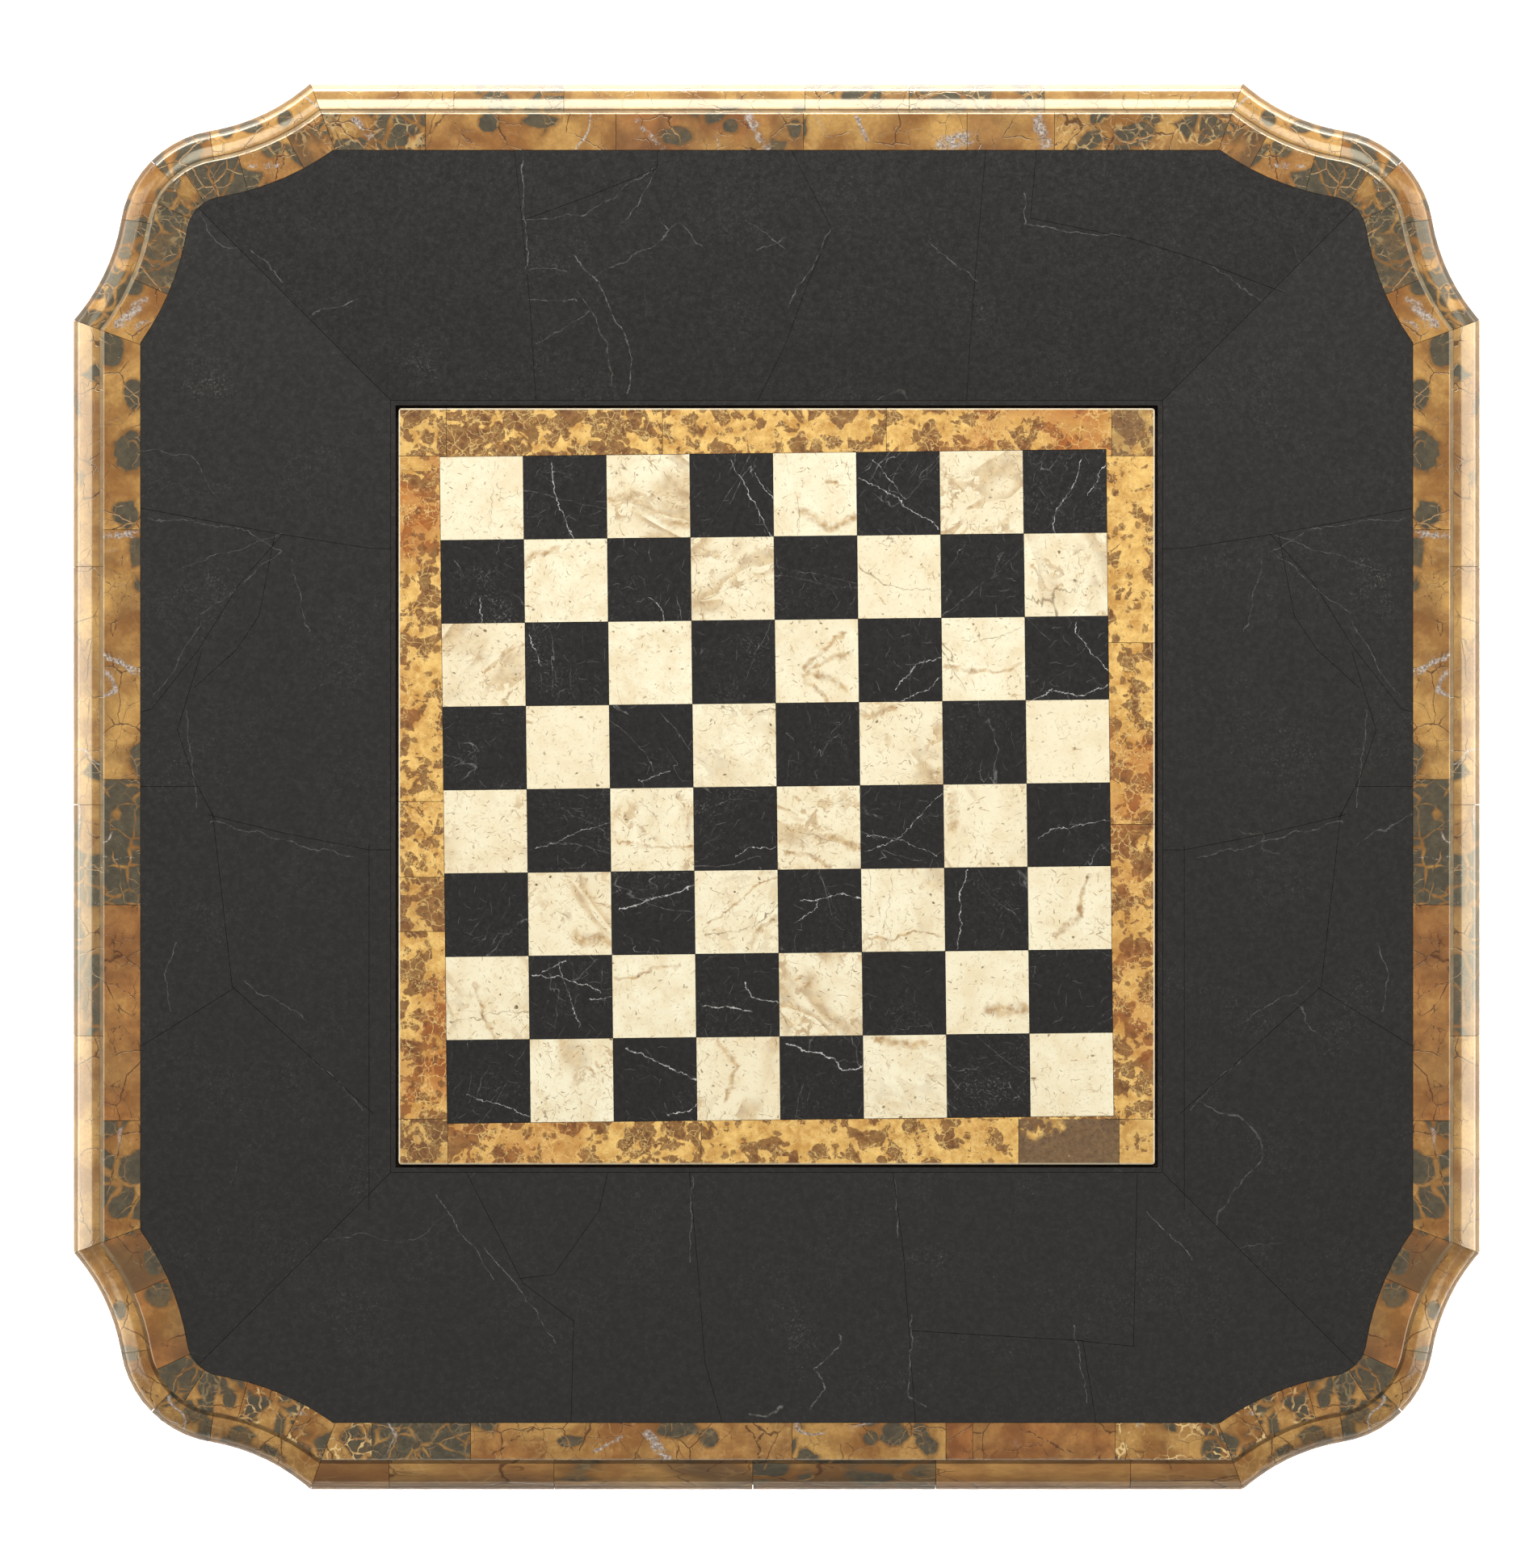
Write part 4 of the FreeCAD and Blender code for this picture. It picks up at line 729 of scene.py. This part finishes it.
def loose_stone(name, seed, polish, count_of=quarter_count):
    """Figured stone whose tiles take their character by chance."""
    g = Graph(name)
    number = g.plus(count_of(g), seed)
    parts = g.chances(g.plus(number, 0.37))
    tile = (
        g.range(parts[0], 0, 1, 0.1, 0.75),
        g.times(g.fade(parts[1], 0.5, 0.9), 0.4),
        g.times(g.fade(parts[2], 0.6, 0.9), 0.4),
        g.times(parts[1], 0.5),
    )
    return figured_stone(g, scatter(g, g.place(), number), tile, polish)


# Black stone

def dust(g, place, amount):
    """Fine pale dust in clusters, with specks and short scratches of many directions."""
    clusters = g.blots(0.46, 0.7, place, 17, 5, 0.72)
    bent = g.warp(place, 300, 0.0012)
    film = g.times(g.blots(0.52, 0.8, place, 640, 3, 0.8), 0.65)
    specks = g.times(g.dots(bent, 420, 0.00034, 0.12), 0.8)
    scratches = g.times(g.flecks(bent, 300, 0.0026, 0.0004, 0.18), 0.6)
    powder = g.highest(film, specks, scratches)
    return g.lowest(g.times(powder, g.range(clusters, 0, 1, 0.12, 1), amount), 1)


def black_stone(name, seed, veins=0.3, speckle=0.6, marks=(), dusty=(), tone=38, folded=False):
    """Black stone, almost plain, with fine dust and a few thin pale veins."""
    g = Graph(name)
    place = g.vector_math("ADD", g.place(), (seed, seed, seed))
    cloud = g.noise(place, 300, 4, 0.7)
    colour = g.mix(g.fade(cloud, 0.3, 0.7), rgb(tone - 1, tone - 3, tone - 6),
                   rgb(tone + 8, tone + 5, tone + 2))
    drawn_place = g.place()
    if folded:
        x, y, z = g.split(drawn_place)
        drawn_place = g.join(g.times(g.math("ABSOLUTE", x), -1), y, z)
    amount = speckle
    for middle in dusty:
        away = g.plus(g.oval(drawn_place, middle),
                      g.range(g.noise(place, 30, 3), 0.3, 0.7, -0.3, 0.3))
        amount = g.highest(amount, g.fade(away, 1.15, 0.4, 0, 1.7))
    powder = dust(g, place, amount)
    colour = g.mix(powder, colour, rgb(122, 120, 114))
    bent = g.warp(place, 40, 0.008, 5)
    vein = g.thread(g.noise(bent, 5.5, 1.5, 0.4, 0.4), 0.0011)
    vein = g.times(vein, g.blots(0.54, 0.62, place, 11, 2))
    lines = g.times(vein, g.range(g.noise(place, 260, 2), 0.35, 0.65, 0.1, 1), veins)
    if marks:
        crooked = g.warp(g.warp(drawn_place, 60, 0.004, 2), 300, 0.0014, 3)
        drawn = g.strokes(crooked, marks, 0.8)
        drawn = g.times(drawn, g.fade(g.noise(place, 160, 4, 0.7), 0.38, 0.64, 0.05,
                                      0.28 if folded else 0.42))
        lines = g.highest(lines, drawn)
    colour = g.mix(lines, colour, rgb(168, 165, 158))
    return g.finish(colour, g.range(cloud, 0.3, 0.7, 0.2, 0.3),
                    g.times(g.noise(place, 700, 3), 0.4), 0.00005, 0.1)


def veined_black(name, seed, count_of, marks=(), dusty=()):
    """Black stone whose tiles each have their own dust and their own thin white veins."""
    g = Graph(name)
    number = g.plus(count_of(g), seed)
    parts = g.chances(number)
    turned = g.turn(g.place(), g.times(parts[0], HALF_TURN))
    place = scatter(g, turned, number)
    cloud = g.noise(place, 300, 3, 0.6)
    colour = g.mix(g.fade(cloud, 0.3, 0.7), rgb(33, 32, 30), rgb(41, 39, 37))
    amount = g.range(parts[1], 0, 1, 0.5, 1.1)
    for middle in dusty:
        away = g.oval(g.place(), middle)
        amount = g.highest(amount, g.fade(away, 1.1, 0.7, 0, 2.2))
    powder = dust(g, place, amount)
    long_scratches = g.flecks(g.warp(place, 150, 0.0025), 120, 0.009, 0.00045, 0.35)
    powder = g.highest(powder, g.times(long_scratches, 0.4))
    colour = g.mix(powder, colour, rgb(138, 136, 130))
    drawn_out = g.lengthen(place, 0.35)
    crooked = g.warp(g.warp(drawn_out, 45, 0.006, 2), 260, 0.0022, 3)
    main = g.thread(g.noise(crooked, 17, 0.6, 0.4), 0.0028)
    main = g.times(main, g.blots(0.4, 0.5, place, 26, 1), 0.2 if marks else 0.9)
    side_vein = g.thread(g.noise(crooked, 34, 1.5, 0.5), 0.0028, 0.47)
    side_vein = g.times(side_vein, g.blots(0.5, 0.6, place, 34, 1), 0.35)
    lines = g.highest(main, side_vein)
    if marks:
        bent = g.warp(g.warp(g.place(), 110, 0.0028, 2), 480, 0.0016, 3)
        lines = g.highest(lines, g.strokes(bent, marks, 0.8))
    lines = g.times(lines, g.fade(g.noise(place, 260, 3), 0.34, 0.62, 0.15, 0.9))
    colour = g.mix(lines, colour, rgb(210, 208, 202))
    return g.finish(colour, g.range(cloud, 0.3, 0.7, 0.18, 0.28),
                    g.times(g.noise(place, 700, 3), 0.4), 0.00005, 0.1)


# Cream fossil stone

def cream_stone(name, seed, count_of, bands=(), cracks=()):
    """Cream stone with tan bands, curled fossils, small tan flecks and brown hair cracks."""
    g = Graph(name)
    number = g.plus(count_of(g), seed)
    parts = g.chances(number)
    more = g.chances(g.plus(number, 0.5))
    turned = g.turn(g.place(), g.times(parts[0], 2 * HALF_TURN))
    place = scatter(g, turned, number)
    busy = g.fade(more[0], 0.2, 0.95)
    cloud = g.noise(place, 60, 5, 0.65)
    colour = g.mix(g.fade(cloud, 0.35, 0.7), rgb(250, 242, 211), rgb(237, 220, 181))
    colour = g.mix(parts[1], colour, rgb(240, 223, 184), 0.45)
    drawn_out = g.lengthen(place, 0.35)
    bent = g.warp(drawn_out, 24, 0.018, 3)
    band = g.noise(bent, 30, 2.5, 0.55)
    soft_side = g.fade(band, 0.42, 0.53)
    sharp_side = g.fade(band, 0.55, 0.535)
    streak = g.times(soft_side, sharp_side, g.blots(0.42, 0.6, place, 20, 1), busy)
    lumps = g.noise(g.warp(place, 120, 0.006, 3), 110, 4, 0.6, 0.8)
    lumps = g.times(g.fade(lumps, 0.51, 0.57), g.blots(0.48, 0.62, place, 34, 2), busy)
    tan = g.highest(g.times(streak, 0.7), g.times(lumps, 0.65))
    hair = g.thread(g.noise(g.warp(g.warp(drawn_out, 60, 0.006, 3), 260, 0.0015, 2), 22, 1),
                    0.0028)
    hair = g.times(hair, g.blots(0.52, 0.6, place, 24, 1), 0.7)
    if bands:
        wavy = g.warp(g.warp(g.place(), 50, 0.006, 2), 200, 0.003, 4)
        drawn = g.strokes(wavy, bands, 0.8)
        broken = g.range(g.noise(place, 120, 5, 0.75), 0.38, 0.6, 0.25, 0.95)
        tan = g.highest(tan, g.times(drawn, broken))
        faint = g.range(g.noise(place, 90, 2), 0.35, 0.65, 0.2, 0.8)
        hair = g.highest(hair, g.times(g.strokes(wavy, cracks, 0.7), faint))
    tan_colour = g.mix(g.blots(0.35, 0.65, place, 150, 3), rgb(166, 126, 78), rgb(210, 176, 124))
    colour = g.mix(tan, colour, tan_colour)
    curls = g.thread(g.noise(g.warp(place, 60, 0.012, 2), 70, 1, 0.4, 1.4), 0.01)
    curls = g.times(curls, g.blots(0.52, 0.62, place, 48, 1), 0.65)
    colour = g.mix(curls, colour, rgb(178, 140, 86))
    curved = g.warp(g.warp(place, 90, 0.004), 260, 0.0012)
    thin = g.flecks(curved, 105, 0.0075, 0.00055, g.range(busy, 0, 1, 0.25, 0.6))
    colour = g.mix(thin, colour, rgb(168, 134, 86), 0.9)
    short = g.flecks(curved, 210, 0.003, 0.00075, g.range(busy, 0, 1, 0.2, 0.4))
    colour = g.mix(short, colour, rgb(150, 118, 74), 0.9)
    spots = g.times(g.dots(curved, 230, 0.00085, 0.18),
                    g.range(g.noise(place, 60, 2), 0.4, 0.6, 0.15, 1))
    colour = g.mix(spots, colour, rgb(112, 90, 58))
    grains = g.blots(0.54, 0.72, curved, 430, 3, 0.8)
    colour = g.mix(grains, colour, rgb(192, 162, 114), 0.55)
    colour = g.mix(hair, colour, rgb(122, 94, 60))
    return g.finish(colour, g.range(cloud, 0.3, 0.7, 0.22, 0.34), g.minus(0, spots), 0.0001, 0.08)


# Golden broken stone of the panel

def golden_stone(name, seed, count_of, tiles=None, painted_highlight_edge=0):
    """Gold stone full of brown fragments and fine yellow veins, with dark pits."""
    g = Graph(name)
    count = count_of(g)
    number = g.plus(count, seed)
    parts = g.chances(number)
    place = scatter(g, g.place(), number)
    brownness, redness, dullness = tile_values(g, count, tiles)[:3] if tiles else (
        parts[0], g.times(parts[1], 0.4), 0)
    ground = g.mix(g.blots(0.34, 0.66, place, 90, 5, 0.7), rgb(200, 147, 73), rgb(246, 203, 120))
    fragments = g.noise(g.warp(place, 50, 0.006, 3), 66, 4, 0.58, 0.3)
    wanted = g.range(brownness, 0, 1, 0.63, 0.44)
    brown = g.mix(g.blots(0.35, 0.65, place, 320, 4, 0.8), rgb(98, 64, 38), rgb(142, 96, 56))
    mask = g.fade(g.minus(fragments, wanted), -0.008, 0.01)
    colour = g.mix(mask, ground, brown, 0.85)
    bent = g.warp(g.warp(place, 70, 0.005, 3), 260, 0.0012, 2)
    kind = g.channels(g.cells(bent, 80)["Color"])
    clast = g.times(g.fade(g.from_edge(bent, 80), 0.06, 0.11),
                    g.math("LESS_THAN", kind[0], g.times(brownness, 0.42)))
    colour = g.mix(clast, colour, brown, 0.85)
    wide = g.noise(place, 12, 2)
    red = g.times(g.fade(wide, 0.44, 0.58), g.blots(0.3, 0.6, place, 45, 3), redness)
    colour = g.mix(red, colour, g.mix(g.noise(place, 150, 3), rgb(132, 62, 38), rgb(206, 120, 44)))
    small = g.cells(g.warp(bent, 420, 0.0012), 210)
    chip = g.channels(small["Color"])
    chip = g.times(g.math("LESS_THAN", chip[0], g.range(brownness, 0, 1, 0.1, 0.3)),
                   g.fade(small["Distance"], 0.62, 0.45))
    colour = g.mix(chip, colour, rgb(112, 70, 40), 0.7)
    net = g.fade(g.from_edge(g.warp(g.warp(place, 120, 0.004, 2), 420, 0.001), 120), 0.045, 0)
    net = g.times(net, g.blots(0.4, 0.56, place, 50, 2), 0.8)
    fine_net = g.thread(g.noise(g.warp(place, 400, 0.0015), 240, 2, 0.6, 0.5), 0.035)
    fine_net = g.times(fine_net, g.blots(0.46, 0.6, place, 70, 2))
    net = g.highest(net, g.times(fine_net, 0.8))
    colour = g.mix(net, colour, rgb(242, 206, 130), 0.9)
    plain = g.mix(g.blots(0.35, 0.65, place, 300, 5, 0.75), rgb(94, 74, 54), rgb(124, 98, 72))
    covered = g.times(dullness, g.blots(0.3, 0.42, place, 34, 4, 0.6), 0.95)
    colour = g.mix(covered, colour, plain)
    pits = g.blots(0.63, 0.7, g.warp(place, 300, 0.001), 420, 2, 0.7)
    pits = g.times(pits, g.blots(0.44, 0.58, place, 60, 2))
    colour = g.mix(pits, colour, rgb(84, 48, 28), 0.8)
    grains = g.blots(0.53, 0.66, place, 720, 3, 0.8)
    colour = g.mix(grains, colour, rgb(144, 100, 54), 0.45)
    chips = g.fade(g.cells(place, 190)["Distance"], 0.09, 0.05)
    colour = g.mix(chips, colour, rgb(250, 236, 196), 0.6)
    # A pale line painted along the panel's outer top edge stands for the highlight of its polished
    # arris.
    if painted_highlight_edge:
        x, y, z = g.split(g.place())
        outward = g.highest(g.math("ABSOLUTE", x), g.math("ABSOLUTE", y))
        painted_edge_highlight = g.fade(outward, painted_highlight_edge - 0.0011, painted_highlight_edge - 0.0007)
        painted_edge_highlight = g.times(painted_edge_highlight, g.fade(z, TOP_LEVEL - 0.0018, TOP_LEVEL - 0.0008), 0.85)
        colour = g.mix(painted_edge_highlight, colour, rgb(252, 240, 208))
    roughness = g.range(g.noise(place, 200, 2), 0.3, 0.7, 0.18, 0.3)
    return g.finish(colour, roughness, g.minus(0, pits), 0.0001, 0.15)


# Wood, metal, felt and plastic of the unseen pieces

def stained_wood(name):
    """Dark stained wood with long grain."""
    g = Graph(name)
    grain = g.noise(g.warp(g.lengthen(g.place(), 0.08), 12, 0.01), 160, 5, 0.65)
    pores = g.blots(0.55, 0.75, g.lengthen(g.place(), 0.05), 900, 2)
    colour = g.mix(g.fade(grain, 0.35, 0.65), rgb(70, 46, 30), rgb(112, 78, 50))
    colour = g.mix(pores, colour, rgb(40, 26, 18), 0.5)
    height = g.minus(g.times(grain, 0.4), pores)
    return g.finish(colour, g.range(grain, 0.3, 0.7, 0.42, 0.6), height, 0.00015)


def plated_steel(name):
    """Zinc-plated steel with fine brushing and dull patches."""
    g = Graph(name)
    brush = g.noise(g.lengthen(g.place(), 0.03), 1800, 2)
    cloud = g.noise(g.place(), 60, 3)
    colour = g.mix(g.fade(cloud, 0.35, 0.7), rgb(176, 178, 180), rgb(196, 192, 178))
    return g.finish(colour, g.range(cloud, 0.3, 0.7, 0.28, 0.45), brush, 0.00002, Metallic=1)


def green_felt(name):
    """Dark green felt with matted fibres."""
    g = Graph(name)
    fibre = g.noise(g.warp(g.place(), 900, 0.001), 2400, 3, 0.7)
    cloud = g.noise(g.place(), 60, 3)
    colour = g.mix(g.fade(fibre, 0.3, 0.7), rgb(16, 40, 28), rgb(34, 66, 48))
    colour = g.mix(g.fade(cloud, 0.5, 0.7), colour, rgb(44, 76, 58), 0.3)
    return g.finish(colour, g.range(fibre, 0.3, 0.7, 0.88, 0.98), fibre, 0.0003)


def dark_plastic(name):
    """Moulded brown plastic with a fine grain and scuffs."""
    g = Graph(name)
    grain = g.noise(g.place(), 1500, 2)
    scuff = g.blots(0.55, 0.7, g.warp(g.place(), 200, 0.004), 90, 3)
    colour = g.mix(scuff, rgb(44, 36, 30), rgb(88, 76, 66), 0.4)
    return g.finish(colour, g.range(scuff, 0, 1, 0.45, 0.65), grain, 0.00008)


def dress(material, *names):
    """Give CAD nodes a material in every slot."""
    for name in names:
        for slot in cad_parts[name].material_slots:
            slot.material = material


def dress_table():
    for number, side in enumerate(("back", "front", "side")):
        names = ("left", "right") if side == "side" else (side,)
        border = side_stone("border_" + side, side, BORDER_JOINTS[side], BORDER_TILES[side],
                            10 * number + 3, 0.3, BORDER_MARKS[side])
        dress(border, *("border_stone_" + name for name in names))
        moulding = side_stone("moulding_" + side, side, MOULDING_JOINTS[side],
                              MOULDING_TILES[side], 10 * number + 5,
                              0.3 if side == "front" else 1,
                              # rim gives the steep outer face its dullness and its painted shade;
                              # the back has none.
                              rim=0 if side == "back" else 1,
                              grain=(0.3, 1, 1) if side == "front" else (1, 1, 1))
        dress(moulding, *("moulding_stone_" + name for name in names))
        # The field's tone is painted shade: darker at the back and lighter at the front, to even
        # out the stronger light from the back.
        field = black_stone("field_" + side, 2 + number, marks=FIELD_VEINS[side],
                            dusty=FIELD_DUST[side],
                            tone={"back": 33, "front": 41, "side": 39}[side],
                            folded=side == "side")
        dress(field, *("field_stone_" + name for name in names))
    dress(corner_stone("border_corners", BORDER_CORNER_JOINTS, BORDER_CORNER_TILES, 40, 0.3,
                       BORDER_MARKS["corner"]), "border_stone_corners")
    # The last 1 is rim: the corners' steep outer face gets its dullness and painted shade.
    dress(corner_stone("moulding_corners", MOULDING_CORNER_JOINTS, MOULDING_CORNER_TILES,
                       60, 0.3, MOULDING_CORNER_MARKS, 1), "moulding_stone_corners")
    dress(black_stone("lining", 9, 0.2, 0.7), "opening_lining", "ledge_facing")
    dress(cream_stone("cream_squares", 100, square_count, SQUARE_BANDS, SQUARE_CRACKS),
          "light_squares")
    dress(veined_black("dark_squares", 200, square_count, SQUARE_VEINS, DUSTY_SPOTS),
          "dark_squares")
    dress(golden_stone("panel_gold", 300, frame_count, PANEL_TILES, PANEL_WIDTH / 2),
          "panel_frame_stone", "panel_edging")
    dress(black_stone("well_ground", 13), "backgammon_ground")
    dress(cream_stone("light_points", 400, point_count), "backgammon_points_light")
    dress(golden_stone("dark_points", 500, point_count), "backgammon_points_dark")
    dress(loose_stone("bar_stone", 8, 0.2), "backgammon_bar")
    dress(veined_black("column_faces", 600, face_count), "column_face_stone")
    dress(loose_stone("column_corners", 700, 0.3, edge_count), "column_corner_stone")
    dress(loose_stone("cove_stone", 800, 0.3), "capital_moulding", "base_moulding")
    dress(black_stone("plinth_black", 17), "plinth_top_stone")
    dress(loose_stone("plinth_edge", 16, 0.3), "plinth_edge_stone")
    wood = stained_wood("stained_wood")
    steel = plated_steel("plated_steel")
    for name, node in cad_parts.items():
        first = node.material_slots[0].material.name
        if first.startswith("core_wood"):
            dress(wood, name)
        elif first.startswith("steel"):
            dress(steel, name)
    dress(green_felt("green_felt"), "panel_felt")
    dress(dark_plastic("glide_plastic"), "glides")


# Studio

def soft_box(name, width, height, place, aim, power, spread=HALF_TURN):
    """A rectangular light that faces a point."""
    light = bpy.data.lights.new(name, "AREA")
    light.shape = "RECTANGLE"
    light.size = width
    light.size_y = height
    light.energy = power
    light.spread = spread
    lamp = bpy.data.objects.new(name, light)
    bpy.context.scene.collection.objects.link(lamp)
    lamp.location = place
    lamp.rotation_euler = (Vector(aim) - Vector(place)).to_track_quat("-Z", "Y").to_euler()


def make_floor():
    """A wide pale floor under the glides; it glows a little, which hides the lights' edges."""
    half = FLOOR_HALF_WIDTH
    mesh = bpy.data.meshes.new("floor")
    corners = [(-half, -half, 0), (half, -half, 0), (half, half, 0), (-half, half, 0)]
    mesh.from_pydata(corners, [], [(0, 1, 2, 3)])
    floor = bpy.data.objects.new("floor", mesh)
    bpy.context.scene.collection.objects.link(floor)
    g = Graph("pale_floor")
    mottle = g.noise(g.place(), 3, 3)
    colour = g.mix(mottle, (0.92, 0.92, 0.92, 1), (0.96, 0.96, 0.96, 1))
    mesh.materials.append(g.finish(colour, 0.6, Emission_Color=(1, 1, 1, 1),
                                   Emission_Strength=FLOOR_GLOW))


def make_world():
    """A white surround, brighter where it is seen than where it only lights."""
    world = bpy.data.worlds.new("studio")
    world.use_nodes = True
    background = world.node_tree.nodes["Background"]
    background.inputs["Color"].default_value = (1, 1, 1, 1)
    seen = world.node_tree.nodes.new("ShaderNodeLightPath")
    strength = world.node_tree.nodes.new("ShaderNodeMapRange")
    strength.inputs["To Min"].default_value = WORLD_LIGHT
    strength.inputs["To Max"].default_value = WORLD_SEEN
    world.node_tree.links.new(seen.outputs["Is Camera Ray"], strength.inputs["Value"])
    world.node_tree.links.new(strength.outputs["Result"], background.inputs["Strength"])
    bpy.context.scene.world = world


def make_camera():
    """Straight above the top, framed as the photograph is."""
    data = bpy.data.cameras.new("plan_camera")
    data.lens = LENS_MM
    data.sensor_width = SENSOR_MM
    data.clip_end = 50
    seen_height = IMAGE_HEIGHT_PX * METRES_PER_PX
    distance = seen_height * LENS_MM / SENSOR_MM
    camera = bpy.data.objects.new("plan_camera", data)
    bpy.context.scene.collection.objects.link(camera)
    camera.location = (
        (IMAGE_WIDTH_PX / 2 - MIDDLE_X_PX) * METRES_PER_PX,
        (MIDDLE_Y_PX - IMAGE_HEIGHT_PX / 2) * METRES_PER_PX,
        TOP_LEVEL + distance,
    )
    bpy.context.scene.camera = camera


def make_lights():
    """Soft light from the back and the sides; the floor boxes keep the floor white."""
    soft_box("back_box", 2.6, 1.5, (0, 1.76, 3), (0, 0.45, TOP_LEVEL), 60)
    for name, way in (("left", -1), ("right", 1)):
        edge = way * 0.43
        soft_box(name + "_box", 2.6, 1.6, (way * 2, 0.1, 1.62), (edge, 0, TOP_LEVEL), 27)
        soft_box(name + "_low_box", 2.6, 0.9, (way * 2.38, 0.1, 0.5), (edge, 0, 0.5), 14)
    soft_box("front_floor_box", 5, 0.4, (0, -1.7, 0.55), (0, -0.85, 0), 95, 1.3)
    soft_box("back_floor_box", 5, 0.5, (0, 2.6, 0.5), (0, 0.7, 0), 80)


make_floor()
make_world()
make_camera()
make_lights()
dress_table()
bpy.context.scene.view_settings.view_transform = "Standard"
